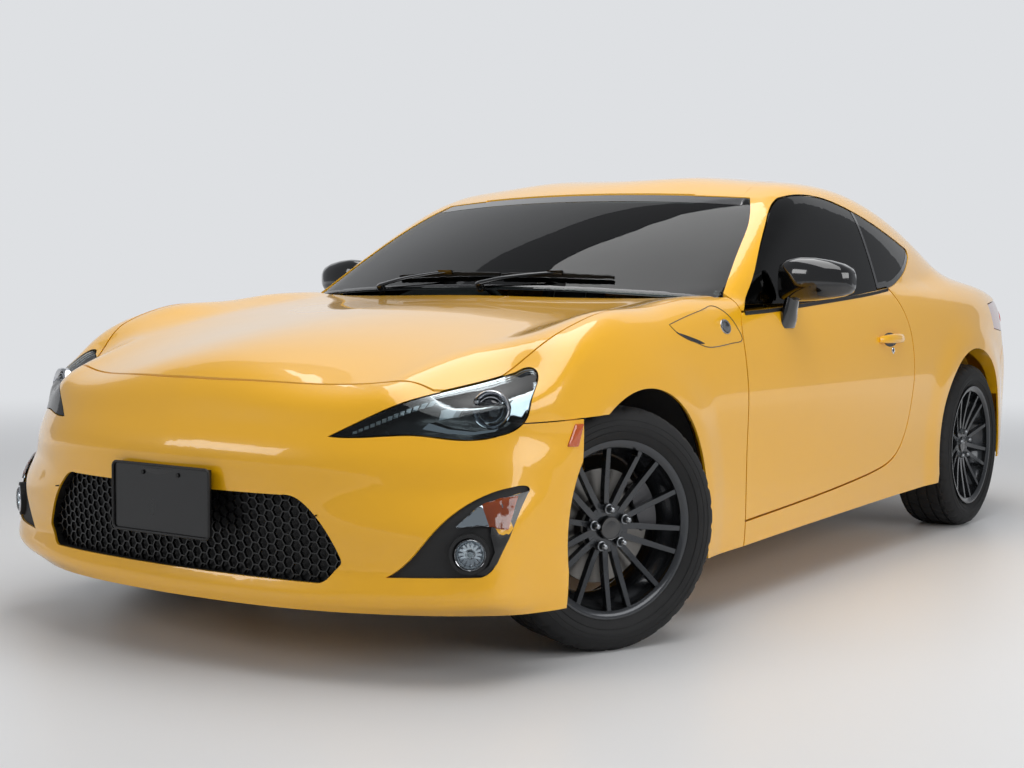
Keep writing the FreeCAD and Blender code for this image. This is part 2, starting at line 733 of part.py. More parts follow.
door_glass = glass_slab.common(side_prism(glass_outline, 400, 1000)).common(before_division).cut(door_seat)
door_glass = biggest(door_glass)
quarter_outline = grown(window_outline, window_margin - seat_gap)
quarter_glass = glass_slab.common(side_prism(quarter_outline, 400, 1000)).common(behind_division)
quarter_glass = biggest(quarter_glass.cut(door_hole))
save("door_glass_left", door_glass)
save("door_glass_right", mirrored(door_glass))
save("quarter_glass", quarter_glass, mirrored(quarter_glass))

# Boot lid and tail.
lid_patch = long_patch(lower_body, spread(-640, 640, 33), (rear_axle + 335, 600),
                       [180 - a for a in spread(6, 118, 45)], 0, lid_skin)
lid = biggest(lid_patch.common(plan_prism(lid_outline, rear_split + shut_gap, 1300)))
tail_middle = (0, rear_axle - 25, 560)
tail_turns = spread(-68, 68, 57)
tail_rises = spread(-24, 34, 31)
tail_patch = fan_patch(lower_body, tail_middle, tail_turns, tail_rises, 1, 0, skin)
bumper_seam = [(y + panel_gap / 2, z - panel_gap) for y, z in rear_seam]
tail_side = side_prism(
    [[(1300, 60), (2200, 60)], [(2200, 60), (2200, bumper_seam[-1][1])],
     [(2200, bumper_seam[-1][1]), bumper_seam[-1]], list(reversed(bumper_seam)),
     [bumper_seam[0], (1300, 60)]], -1000, 1000)
tail_low = box(-1000, 1000, 1300, 2300, 0, rear_bumper_bottom)
rear_bumper = biggest(tail_patch.common(tail_side).cut([tail_low, rear_arch, mirrored(rear_arch)]))

tail_corner = tail_patch.common(box(500, 1000, quarter_end + seat_gap, 2300, rear_split + panel_gap, 1200))
tail_corner = biggest(tail_corner.cut([tail_cut, lid_hole]))
save("tail_corners", tail_corner, mirrored(tail_corner))
lamp_slab = fan_patch(lower_body, tail_middle, spread(20, 68, 21), spread(0, 34, 19), 1, 0.5, 34)
tail_lamp = biggest(lamp_slab.common(front_prism(tail_lamp_outline, 1600, 2300)))
save("tail_lamps", tail_lamp, mirrored(tail_lamp))

# Headlamps: a clear lens flush with the skin over a dark bowl.
lens_thickness = 4.0
bowl_end = front_axle - 355.0
lens_slab = fan_patch(lower_body, nose_middle, spread(14, 74, 31), spread(2, 34, 21), -1, 0.5, lens_thickness)
lens = biggest(lens_slab.common(front_prism(lamp_outline, -2300, front_axle - 200)))
save("headlamp_lenses", lens, mirrored(lens))
bowl_slab = fan_patch(lower_body, nose_middle, spread(14, 74, 31), spread(2, 34, 21), -1,
                      lens_thickness + seat_gap, 70)
bowl = biggest(bowl_slab.common(front_prism(lamp_outline, -2300, bowl_end)))
save("headlamp_bowls", bowl, mirrored(bowl))

# Wheels. Each is drawn about its own axle, outboard along +X, then put in its place.
rim_half = 101.0
rim_lip = 228.0
hub_face = 48.0
hub_radius = 66.0
spoke_depth = 18.0
disc_front = 147.0
disc_rear = 145.0
spindle_radius = 14.0
settle = 0.69
tread_half = tyre_width / 2 - 20


def turned(points):
    """A ring turned about the X axis from a closed outline of x and radius."""
    wire = outline_wire(points, lambda x, r: Vector(x, 0, r))
    return Part.Face(wire).revolve(Vector(0, 0, 0), Vector(1, 0, 0), 360)


def tyre_shape():
    half = tyre_width / 2
    bead = rim_half - 9 - 2 * seat_gap
    heel = [(-bead, rim_radius + seat_gap), (-bead, rim_lip + 2)]
    outside = [(-bead, rim_lip + 2), (-bead - 5, rim_lip + 9), (-half, rim_radius + 46),
               (-half + 5, tyre_radius - 26), (-tread_half - 5, tyre_radius - 7), (-tread_half + 12, tyre_radius - 1)]
    tread = [(-tread_half + 12, tyre_radius - 1), (0, tyre_radius), (tread_half - 12, tyre_radius - 1)]
    inside = [(bead - 14, rim_radius + seat_gap), (bead - 10, rim_radius + 24), (half - 16, tyre_radius - 50),
              (half - 30, tyre_radius - 15), (0, tyre_radius - 12), (-half + 30, tyre_radius - 15),
              (-half + 16, tyre_radius - 50), (-bead + 10, rim_radius + 24), (-bead + 14, rim_radius + seat_gap)]
    other = [(-x, r) for x, r in reversed(outside)]
    other_heel = [(-x, r) for x, r in reversed(heel)]
    return turned([heel, outside, tread, other, other_heel, [other_heel[-1], inside[0]], inside,
                   [inside[-1], heel[0]]])


def spoke(turn_in, reach_in, width_in, turn_out, reach_out, width_out):
    """A bar between two places of the wheel's face, each given by its turn and reach."""
    a = math.radians(turn_in)
    b = math.radians(turn_out)
    start = Vector(0, reach_in * math.sin(a), reach_in * math.cos(a))
    end = Vector(0, reach_out * math.sin(b), reach_out * math.cos(b))
    along = (end - start).normalize()
    across = Vector(0, -along.z, along.y)
    corners = [start + across * (width_in / 2), end + across * (width_out / 2),
               end - across * (width_out / 2), start - across * (width_in / 2)]
    face = Part.Face(Part.makePolygon(corners + corners[:1]))
    return face.extrude(Vector(150, 0, 0))


def rim_shape():
    half = rim_half
    lip = rim_lip
    seat = rim_radius
    barrel = turned([[(-half, lip), (-half + 7, lip)], [(-half + 7, lip), (-half + 9, seat)],
                     [(-half + 9, seat), (-66, seat - 1)], [(-66, seat - 1), (-40, seat - 20)],
                     [(-40, seat - 20), (40, seat - 20)], [(40, seat - 20), (66, seat - 1)],
                     [(66, seat - 1), (half - 9, seat)],
                     [(half - 9, seat), (half - 7, lip)], [(half - 7, lip), (half, lip)],
                     [(half, lip), (half - 1, lip - 8), (half - 8, seat - 8)],
                     [(half - 8, seat - 8), (64, seat - 12), (42, seat - 27), (-42, seat - 27), (-62, seat - 11),
                      (-half + 1, seat - 6)],
                     [(-half + 1, seat - 6), (-half, lip)]])
    dish = turned([[(hub_face + 14, 0), (hub_face + 15, 40), (hub_face + 20, 90), (hub_face + 31, 150),
                    (hub_face + 44, seat - 3)],
                   [(hub_face + 44, seat - 3), (hub_face + 44 - spoke_depth, seat - 3)],
                   [(hub_face + 44 - spoke_depth, seat - 3), (hub_face + 31 - spoke_depth, 150),
                    (hub_face + 20 - spoke_depth, 90), (hub_face, 40), (hub_face, 0)],
                   [(hub_face, 0), (hub_face + 14, 0)]])
    bars = []
    for k in range(wheel_bolts):
        bolt_turn = 360 / wheel_bolts * k
        middle = bolt_turn + 180 / wheel_bolts
        bars.append(spoke(bolt_turn, 52, 15, bolt_turn, seat - 8, 13))
        for side in (-1, 1):
            bars.append(spoke(middle + side * 15, 46, 17, middle + side * 8.5, seat - 8, 12.5))
    hub = turned([[(hub_face, 0), (hub_face + 15, 0)], [(hub_face + 15, 0), (hub_face + 15, hub_radius - 4)],
                  [(hub_face + 15, hub_radius - 4), (hub_face, hub_radius)], [(hub_face, hub_radius), (hub_face, 0)]])
    face = dish.common(bars[0].fuse(bars[1:]))
    rim = barrel.fuse([face, hub])
    holes = []
    for k in range(wheel_bolts):
        a = math.radians(360 / wheel_bolts * k)
        place = Vector(hub_face - 30, wheel_bolt_circle / 2 * math.sin(a), wheel_bolt_circle / 2 * math.cos(a))
        holes.append(Part.makeCylinder(wheel_bolt_hole, 80, place, Vector(1, 0, 0)))
    bore = Part.makeCylinder(spindle_radius + seat_gap, 50, Vector(0, 0, 0), Vector(1, 0, 0))
    return biggest(rim.cut(holes + [bore]))


def disc_shape(radius):
    """A brake disc with its hat, seated on the back of the wheel's hub face."""
    inner = 78.0
    ring_out = 26.0
    ring_in = 8.0
    return turned([[(hub_face, spindle_radius + seat_gap), (hub_face, inner - 6)],
                   [(hub_face, inner - 6), (ring_out, inner)], [(ring_out, inner), (ring_out, radius)],
                   [(ring_out, radius), (ring_in, radius)], [(ring_in, radius), (ring_in, inner - 8)],
                   [(ring_in, inner - 8), (hub_face - 7, inner - 14)],
                   [(hub_face - 7, inner - 14), (hub_face - 7, spindle_radius + seat_gap)],
                   [(hub_face - 7, spindle_radius + seat_gap), (hub_face, spindle_radius + seat_gap)]])


def caliper_shape(radius, lean):
    """A sliding caliper over the disc's edge, leaning back by the angle given."""
    block = box(-34, 44, -62, 62, radius - 42, radius + 20)
    block = block.common(Part.makeCylinder(radius + 18, 100, Vector(-40, 0, 0), Vector(1, 0, 0)))
    slot = Part.makeCylinder(radius + 5.5, 29, Vector(2.5, 0, 0), Vector(1, 0, 0))
    shape = block.cut(slot)
    shape.rotate(Vector(0, 0, 0), Vector(1, 0, 0), lean)
    return shape


# Steering axis: through the lower ball joint and the top of the strut.
ball_x = 690.0
ball_z = 190.0
strut_x = 562.0
strut_z = 700.0
strut_foot_z = 440.0
strut_radius = 25.0
lug_half = 10.0
hub_height = tyre_radius + settle
steer_point = Vector(ball_x, front_axle, ball_z)
steer_way = Vector(strut_x - ball_x, 0, strut_z - ball_z).normalize()


def on_axis(z):
    return Vector(ball_x + (strut_x - ball_x) * (z - ball_z) / (strut_z - ball_z), front_axle, z)


def along_axis(radius, start, length):
    return Part.makeCylinder(radius, length, start, steer_way)


def upright(radius, lean):
    """The round upright with spindle, flange and caliper, drawn about the wheel's own axle."""
    body = Part.makeCylinder(46, 34, Vector(-38, 0, 0), Vector(1, 0, 0))
    spindle = Part.makeCylinder(spindle_radius, hub_face + 8, Vector(-10, 0, 0), Vector(1, 0, 0))
    flange = Part.makeCylinder(40, 40, Vector(-10, 0, 0), Vector(1, 0, 0))
    bridge = box(-34, -14, -20, 20, 0, radius - 24)
    bridge.rotate(Vector(0, 0, 0), Vector(1, 0, 0), lean)
    return biggest(body.fuse([spindle, flange, bridge, caliper_shape(radius, lean)]))


def web(points, half):
    """A plate in the plane of the axle, its outline given by x and z."""
    corners = [Vector(x, -half, z) for x, z in points]
    return Part.Face(Part.makePolygon(corners + corners[:1])).extrude(Vector(0, 2 * half, 0))


def front_upright():
    """The steered upright: it hangs on the ball joint below and clamps the strut above."""
    shape = upright(disc_front, -75)
    shape.translate(Vector(front_track / 2, front_axle, hub_height))
    low = steer_point + steer_way * (lug_half + seat_gap)
    lug = along_axis(20, low, 22)
    clamp_start = on_axis(strut_foot_z)
    clamp = along_axis(strut_radius + 8, clamp_start, 60)
    x0 = front_track / 2 - 36
    low_web = web([(x0, hub_height - 25), (low.x - 10, low.z + 4), (low.x + 12, low.z + 4),
                   (x0 + 28, hub_height - 30)], 14)
    high_web = web([(x0, hub_height + 20), (x0 + 26, hub_height + 30), (x0 - 20, hub_height + 84),
                    (clamp_start.x + 30, clamp_start.z + 40), (clamp_start.x - 20, clamp_start.z + 20),
                    (x0 - 60, hub_height + 70)], 16)
    low_web.translate(Vector(0, front_axle, 0))
    high_web.translate(Vector(0, front_axle, 0))
    bore = along_axis(strut_radius + seat_gap, clamp_start - steer_way * 30, 130)
    pin_hole = along_axis(9 + seat_gap, low - steer_way * 4, 40)
    shape = shape.fuse([lug, clamp, low_web, high_web])
    return biggest(shape.cut([bore, pin_hole]))


def steered(shape, side):
    """Puts a piece drawn straight ahead on the left on its side, and turns it."""
    placed = shape if side > 0 else mirrored(shape)
    placed = placed.copy()
    way = Vector(steer_way.x * side, 0, steer_way.z)
    placed.rotate(Vector(steer_point.x * side, steer_point.y, steer_point.z), way, steer_at_rest)
    return placed


def at_front(shape, side):
    placed = shape.copy()
    placed.translate(Vector(front_track / 2, front_axle, hub_height))
    return steered(placed, side)


def at_rear(shape, side):
    placed = shape.copy()
    placed.translate(Vector(rear_track / 2, rear_axle, tyre_radius))
    return mirrored(placed) if side < 0 else placed


tyre = tyre_shape()
rim = rim_shape()
front_disc = disc_shape(disc_front)
rear_disc = disc_shape(disc_rear)
front_knuckle = front_upright()
for side, name in ((1, "left"), (-1, "right")):
    save(f"tyre_front_{name}", at_front(tyre, side))
    save(f"rim_front_{name}", at_front(rim, side))
    save(f"brake_disc_front_{name}", at_front(front_disc, side))
    save(f"knuckle_front_{name}", steered(front_knuckle, side))
    save(f"tyre_rear_{name}", at_rear(tyre, side))
    save(f"rim_rear_{name}", at_rear(rim, side))
    save(f"brake_disc_rear_{name}", at_rear(rear_disc, side))

# Depths of the pieces that lie against the shell inside.
bowl_depth = 70.0
tail_lamp_depth = 34.0
cowl_depth = 5.0
cowl_thickness = 6.0


def skin_height(x, y):
    """How high the lower body's skin stands above a place."""
    return skin_point(lower_body, 0, (x, y, 480), (x, y, 1000)).z


# Hinges. Each pin turns in a hole larger by the running clearance.
pin_clearance = 0.3
door_pin = 6.0
door_hinge_x = 841.0
door_hinge_y = -589.0
door_hinge_heights = (350.0, 680.0)
door_eye = 12.0
door_arm_half = 15.0
bonnet_pin = 4.0
bonnet_hinge_y = -740.0
bonnet_pin_x = (742.0, 798.0)
bracket_y = (-765.0, -715.0)
bracket_top = min(skin_height(bonnet_pin_x[1], y) for y in bracket_y) - skin - seat_gap
bonnet_hinge_z = bracket_top - bonnet_pin - 4.0
lid_pin = 5.0
lid_hinge_y = 1280.0
lid_hinge_z = 972.0
lid_arm_x = 500.0
lid_arm_width = 12.0

# Doors: pockets and pins for the hinges, and the shape cut for the mirror foot.
for height in door_hinge_heights:
    pocket = box(760, door_hinge_x + door_eye + 3, door_front[-1][0] - 20, door_hinge_y + 28,
                 height - door_arm_half - 4, height + door_arm_half + 4)
    door = door.cut(pocket)
    pin = rod(door_pin, (door_hinge_x, door_hinge_y, height - door_arm_half - 14),
              (door_hinge_x, door_hinge_y, height + door_arm_half + 14))
    door = door.fuse(pin)
door = biggest(door)
save("door_left", door)
save("door_right", mirrored(door))

# Bonnet: a lug with a pin at each rear corner.
lug_top = skin_height(bonnet_pin_x[0], bonnet_hinge_y) - bonnet_skin / 2
lug = box(bonnet_pin_x[0], bonnet_pin_x[0] + 14, bonnet_hinge_y - 9, bonnet_hinge_y + 9,
          bonnet_hinge_z - bonnet_pin - 4, lug_top)
lug = lug.fuse(rod(bonnet_pin, (bonnet_pin_x[0], bonnet_hinge_y, bonnet_hinge_z),
                   (bonnet_pin_x[1], bonnet_hinge_y, bonnet_hinge_z)))
bonnet = bonnet.fuse([lug, mirrored(lug)])
save("bonnet", biggest(bonnet))

# Boot lid: a curved arm each side, which swings round the edge of the screen.
arm_outer = 222.0
arm_inner = 206.0
arm_top = 1.0
arm_low = -86.0


def lid_arm(x):
    centre = Vector(x, lid_hinge_y, lid_hinge_z)
    ring = Part.makeCylinder(arm_outer, lid_arm_width, centre, Vector(1, 0, 0))
    ring = ring.cut(Part.makeCylinder(arm_inner, lid_arm_width, centre, Vector(1, 0, 0)))
    wedge = [Vector(0, 0, 0)]
    for a in spread(arm_top, arm_low - 2, 4):
        wedge.append(Vector(0, 400 * math.cos(math.radians(a)), 400 * math.sin(math.radians(a))))
    fan = Part.Face(Part.makePolygon(wedge + wedge[:1])).extrude(Vector(lid_arm_width, 0, 0))
    fan.translate(centre)
    bow = ring.common(fan)
    bar = box(0, lid_arm_width, 0, arm_inner + 8, -9, 9)
    bar.rotate(Vector(0, 0, 0), Vector(1, 0, 0), arm_low)
    bar.translate(centre)
    eye = Part.makeCylinder(14, lid_arm_width, centre, Vector(1, 0, 0))
    deck = skin_height(x + lid_arm_width, lid_hinge_y + arm_inner + 60)
    foot = box(x, x + lid_arm_width, lid_hinge_y + arm_inner + 2, lid_hinge_y + arm_inner + 70,
               lid_hinge_z - 10, deck - 8)
    hole = Part.makeCylinder(lid_pin + pin_clearance, lid_arm_width, centre, Vector(1, 0, 0))
    arm = bow.fuse([bar, eye, foot]).cut(hole)
    return arm


left_arm = lid_arm(lid_arm_x)
lid = biggest(lid.fuse([left_arm, mirrored(left_arm)]))
corner = box(556, 604, 1425, 1450, 900, 966)
lid = lid.cut([corner, mirrored(corner)])
save("boot_lid", lid)

# The shell inside: floor, sills, posts, rails, towers and carriers, welded into one.
floor_low = 185.0
floor_thickness = 20.0
floor_top = floor_low + floor_thickness
firewall_y = -770.0
firewall_front = firewall_y - 20
bulkhead_y = 940.0
tunnel_half = 150.0
tunnel_top = 420.0
tunnel_wall = 12.0
boot_floor = 430.0
boot_rear = 1985.0
rail_inner = 380.0
rail_outer = 445.0
rail_low = 400.0
rail_top = 500.0
rail_front = -1950.0
tower_plate = 770.0
tower_thickness = 14.0
post_outer = 738.0



def side_pad(places, low, high, level, depth):
    """A plate lying behind the lower body's side, between two looks from the wing's centre."""
    rows = max(5, round(abs(places[1] - places[0]) / 33))
    return section_patch(lower_body, spread(places[0], places[1], rows), wing_centre,
                         fan_aims(wing_centre, low, high, max(5, round((high - low) / 3))), level, level + depth)


def nose_pad(turns, rises, level, depth):
    return fan_patch(lower_body, nose_middle, spread(turns[0], turns[1], round((turns[1] - turns[0]) / 2) + 3),
                     spread(rises[0], rises[1], 5), -1, level, level + depth)


def tail_pad(turns, rises, level, depth):
    return fan_patch(lower_body, tail_middle, spread(turns[0], turns[1], round((turns[1] - turns[0]) / 2) + 3),
                     spread(rises[0], rises[1], 5), 1, level, level + depth)


against = skin + seat_gap
sill_pad = section_patch(whole_body, spread(-500, bulkhead_y, 36), frame_centre,
                         fan_aims(frame_centre, -33, -25, 6), lambda y, z: frame_depth(y, z) + seat_gap,
                         lambda y, z: frame_depth(y, z) + 50)
b_post_high = section_patch(glasshouse, spread(398, 452, 5), (0, 700),
                            [(900 * math.cos(math.radians(a)), 700 + 900 * math.sin(math.radians(a)))
                             for a in spread(16.2, 38, 8)], pillar_depth + seat_gap, pillar_depth + 70)
half_shell = [
    box(0, 745, firewall_front, bulkhead_y + 20, floor_low, floor_top),
    box(0, tunnel_half, firewall_front, bulkhead_y + 20, floor_top - 1, tunnel_top),
    box(0, 700, firewall_front, firewall_y, floor_low, 862),
    box(0, 180, -836, firewall_y, 825, 862),
    box(0, 60, -834, -800, 861, skin_height(60, -834) - 1.05 * (cowl_depth + cowl_thickness) - seat_gap),
    box(0, 700, bulkhead_y, bulkhead_y + 20, floor_low, 560),
    box(700, 745, firewall_front, bulkhead_y + 20, floor_low, 320),
    sill_pad,
    box(690, post_outer, firewall_front, -600, floor_low, 835),
    side_pad((-780, -705), -20, 20, against, 130),
    box(700, bonnet_pin_x[1], bracket_y[0], bracket_y[1], 690, 730),
    box(bonnet_pin_x[1] - 20, bonnet_pin_x[1] - 6, bracket_y[0], bracket_y[1], 690, bracket_top),
    box(rail_inner, rail_outer, rail_front, firewall_y, rail_low, rail_top),
    box(0, rail_outer, rail_front, rail_front + 25, rail_low, rail_top),
    box(0, 200, -2025, rail_front + 25, 490, 530),
    nose_pad((-12, 12), (5.2, 7.6), against, 90),
    box(0, rail_outer, -2020, -1560, 200, 206),
    nose_pad((-24, 24), (-15.2, -14.2), against + 1.2, 90),
    box(rail_inner, rail_outer, rail_front, rail_front + 25, 200, rail_low + 1),
    box(rail_inner, rail_outer, -1600, -1575, 200, rail_low + 1),
    box(rail_inner, 680, -1700, -1600, 580, 625),
    box(rail_inner, rail_outer, -1700, -1600, rail_top - 1, 581),
    nose_pad((46, 56), (9, 12.5), bowl_depth + 8 * seat_gap, 120),
    box(679, 845, -1630, -1600, 590, 622),
    side_pad((-1636, -1592), 11, 17, against, 24),
    box(rail_outer - 1, 458, -1345, -1225, 440, tower_plate + 1),
    box(rail_outer - 1, 700, -1375, -1195, tower_plate, tower_plate + tower_thickness),
    box(690, 745, -1400, firewall_front + 1, tower_plate, tower_plate + tower_thickness),
    side_pad((-1420, firewall_front + 1), 27, 29, against, 130),
    box(700, 760, 570, 690, 300, 720),
    box(690, 720, 570, 670, 319, 860),
    box(640, 716, 398, 600, 840, 930),
    box(640, 720, 560, 670, 800, 860),
    b_post_high,
    box(0, 552, bulkhead_y, boot_rear, boot_floor, boot_floor + 20),
    box(545, 560, bulkhead_y, 1880, boot_floor, 720),
    box(545, 740, bulkhead_y, bulkhead_y + 20, 205, 720),
    box(545, 594, 1700, 1900, boot_floor, boot_floor + 20),
    box(580, 594, 1700, 1900, boot_floor, 790),
    box(580, 680, 1840, 1900, 740, 790),
    tail_pad((38, 46), (10, 14), tail_lamp_depth + seat_gap, 90),
    box(0, 560, boot_rear, boot_rear + 20, 300, 680),
    box(0, 200, boot_rear, 2050, 440, 480),
    tail_pad((-14, 14), (-8.0, -5.4), against, 80),
    box(0, 480, 1130, 1400, 868, 880),
    box(470, 640, 1130, 1212, 868, 880),
    box(545, 640, bulkhead_y, 1400, 868, 880),
    box(628, 640, bulkhead_y, 1400, 700, 880),
    box(545, 640, bulkhead_y, 1400, 700, 720),
    box(lid_arm_x + lid_arm_width + 3, lid_arm_x + lid_arm_width + 17, lid_hinge_y - 25, lid_hinge_y + 25,
        870, lid_hinge_z + 15),
    box(lid_arm_x + lid_arm_width + 3, 560, 1190, 1290, 868, 880)]
wheelhouse = rod(arch_radius_rear + 12, (552, rear_axle, tyre_radius), (770, rear_axle, tyre_radius))
wheelhouse = wheelhouse.cut([rod(arch_radius_rear + 5, (552, rear_axle, tyre_radius),
                                 (770, rear_axle, tyre_radius)), box(500, 900, 800, 1800, -200, 240)])
half_shell.append(wheelhouse)
for height in door_hinge_heights:
    arm = box(post_outer - 10, door_hinge_x, door_hinge_y - 12, door_hinge_y + 12,
              height - door_arm_half, height + door_arm_half)
    eye = rod(door_eye, (door_hinge_x, door_hinge_y, height - door_arm_half),
              (door_hinge_x, door_hinge_y, height + door_arm_half))
    half_shell.extend([arm, eye])
half_shell.append(box(690, post_outer, -610, door_hinge_y + 12, 300, 720))
half_shell.append(rod(lid_pin, (lid_arm_x - 4, lid_hinge_y, lid_hinge_z),
                      (lid_arm_x + lid_arm_width + 10, lid_hinge_y, lid_hinge_z)))
half = joined(half_shell)
half = half.cut([box(722, post_outer + 5, -642, -592, 700, 840), box(741, 747, -612, -570, 245, 321),
                 box(-(tunnel_half - tunnel_wall), tunnel_half - tunnel_wall, -900, bulkhead_y + 30,
                     floor_low - 1, tunnel_top - tunnel_wall),
                 along_axis(12, on_axis(740), 90),
                 rod(bonnet_pin + pin_clearance, (760, bonnet_hinge_y, bonnet_hinge_z),
                     (900, bonnet_hinge_y, bonnet_hinge_z)),
                 rod(door_pin + pin_clearance, (door_hinge_x, door_hinge_y, 300),
                     (door_hinge_x, door_hinge_y, 400)),
                 rod(door_pin + pin_clearance, (door_hinge_x, door_hinge_y, 630),
                     (door_hinge_x, door_hinge_y, 730))])
half = biggest(half)
body_shell = half.fuse(mirrored(half))
save("body_shell", biggest(body_shell))

# Cowl: the dark strip between bonnet and windscreen.
cowl_patch = long_patch(lower_body, spread(-790, 790, 31), (-600, 330), spread(40, 100, 25), cowl_depth,
                        cowl_depth + cowl_thickness)
cowl_front = [(x, y + shut_gap + 2) for x, y in bonnet_rear]
cowl_outline = [both_sides(list(reversed(cowl_front))), [cowl_front[0], (774, -690)],
                [(774, -690), (600, -744), (370, -797), (0, -829), (-370, -797), (-600, -744), (-774, -690)],
                [(-774, -690), (-cowl_front[0][0], cowl_front[0][1])]]
cowl_half = 626.0
cowl = cowl_patch.common(plan_prism(cowl_outline, 700, 1000)).common(box(-cowl_half, cowl_half, -1000, -600, 700, 1000))
save("cowl_panel", biggest(cowl))

def within(values, low, high):
    """Those of the given values that lie between two others."""
    return [v for v in values if low <= v <= high]


# Grille: a tray behind the opening, with its net as one plate and two bars.
grille_wall = 5.0
grille_depth = 34.0
grille_back = fan_patch(lower_body, nose_middle, within(nose_turns, -40, 40), within(nose_rises, -19, 4), -1,
                        against + grille_depth, against + grille_depth + 4)
grille_back = grille_back.common(front_prism(grown(grille_outline, grille_wall + 3), -2300, -1800))
grille_rim = fan_patch(lower_body, nose_middle, within(nose_turns, -40, 40), within(nose_rises, -19, 4), -1,
                       against, against + grille_depth + 2)
grille_ring = front_prism(grown(grille_outline, grille_wall + 3), -2300, -1800)
grille_ring = grille_ring.cut(front_prism(grown(grille_outline, 3), -2300, -1800))
grille = biggest(grille_back.fuse(grille_rim.common(grille_ring)))
save("grille", grille)

# Blank number plate on its foot, a little to the left of the middle.
plate_middle = 13.0
plate_width = 330.0
plate_height = 165.0
plate_low = 318.0
plate_front = nose - 2.0
plate = box(plate_middle - plate_width / 2, plate_middle + plate_width / 2, plate_front, plate_front + 7,
            plate_low, plate_low + plate_height)
foot_pad = fan_patch(lower_body, nose_middle, spread(-8, 9, 7), spread(2.0, 3.6, 4), -1, -14, -seat_gap)
save("number_plate", biggest(plate.fuse(foot_pad)))

# Fog lamps: a dark hollow behind the bumper's opening with a round lamp in it.
fog_centre = (779.0, 314.0)
fog_radius = 38.0
fog_back = fan_patch(lower_body, nose_middle, within(nose_turns, 34, 69), within(nose_rises, -19, 6), -1,
                     against + 3 * seat_gap, against + 5)
fog_back = biggest(fog_back.common(front_prism(grown(fog_outline, 9), -2200, -1600)))
fog_way = Vector(0.55, -0.83, 0)
fog_start = skin_point(lower_body, against + 3, nose_middle, (fog_centre[0], -1904, fog_centre[1]))
fog_bezel = Part.makeCylinder(fog_radius + 8, 16, fog_start, fog_way)
fog_bezel = fog_bezel.cut(Part.makeCylinder(fog_radius, 20, fog_start + fog_way * 6, fog_way))
fog_lamp = biggest(fog_back.fuse(fog_bezel))
save("fog_lamps", fog_lamp, mirrored(fog_lamp))

# Wheel arch linings, against the wing's inner side.
liner_radius = 378.0
liner = rod(liner_radius, (470, front_axle, tyre_radius), (846, front_axle, tyre_radius))
liner = liner.cut([rod(liner_radius - 5, (460, front_axle, tyre_radius), (900, front_axle, tyre_radius)),
                   box(400, 900, front_axle - 500, front_axle + 500, -100, 215),
                   along_axis(92, on_axis(600), 160),
                   box(400, rail_outer + 20, -1360, -1210, 400, 800)])
liner_room = side_pad((front_axle - 420, front_axle + 420), -30, 45, -60, 60 + against)
liner = biggest(liner.cut(liner_room))
save("wheel_liners", liner, mirrored(liner))

# Engine as one block, gearbox and shafts behind it.
engine_rear = -1000.0
save("engine_block", box(-330, 330, -1500, engine_rear, 235, 600))
shaft_z = 300.0
gearbox = Part.makeCone(108, 80, 330, Vector(0, engine_rear + seat_gap, shaft_z), Vector(0, 1, 0))
shaft = rod(32, (0, engine_rear + 300, shaft_z), (0, rear_axle - 90, shaft_z))
axle_case = rod(78, (0, rear_axle - 95, shaft_z), (0, rear_axle + 90, shaft_z))
case_sides = rod(60, (-120, rear_axle, tyre_radius), (120, rear_axle, tyre_radius))
half_shafts = rod(15, (-650, rear_axle, tyre_radius), (650, rear_axle, tyre_radius))
save("driveline", biggest(joined([gearbox, shaft, axle_case, case_sides, half_shafts])))

# Exhaust: one pipe beside the tunnel, a silencer across the tail, two tips.
pipe_x = -100.0
pipe_z = 203.0
pipe_radius = 27.0
manifold_x = -250.0
tip_x = 470.0
tip_z = 262.0
pipe_run = [(manifold_x, -1150, 235 - seat_gap), (manifold_x, -1150, pipe_z), (manifold_x, -1090, pipe_z),
            (pipe_x, -850, pipe_z), (pipe_x, 1500, pipe_z), (pipe_x, 1760, 290)]
exhaust = []
for start, end in zip(pipe_run, pipe_run[1:]):
    exhaust.append(rod(pipe_radius, start, end))
for bend in pipe_run[1:-1]:
    exhaust.append(Part.makeSphere(pipe_radius, Vector(*bend)))
silencer = box(-330, 330, 1720, 1960, 235, 410)
silencer = silencer.makeFillet(50, [e for e in silencer.Edges if abs(e.Length - 660) < 1])
exhaust.append(silencer)
for side in (-1, 1):
    exhaust.append(rod(30, (side * 300, 1900, tip_z), (side * tip_x, 1960, tip_z)))
    exhaust.append(Part.makeSphere(30, Vector(side * tip_x, 1960, tip_z)))
    exhaust.append(rod(30, (side * tip_x, 1960, tip_z), (side * tip_x, 2080, tip_z)))
    tip = rod(38, (side * tip_x, 2010, tip_z), (side * tip_x, 2096, tip_z))
    exhaust.append(tip)
exhaust = joined(exhaust)
exhaust = exhaust.cut([rod(34, (side * tip_x, 2030, tip_z), (side * tip_x, 2200, tip_z)) for side in (-1, 1)])
save("exhaust", biggest(exhaust))
tip_rooms = [rod(46, (side * tip_x, 1800, tip_z), (side * tip_x, 2300, tip_z)) for side in (-1, 1)]
rear_bumper = biggest(rear_bumper.cut(tip_rooms))
save("rear_bumper", rear_bumper)

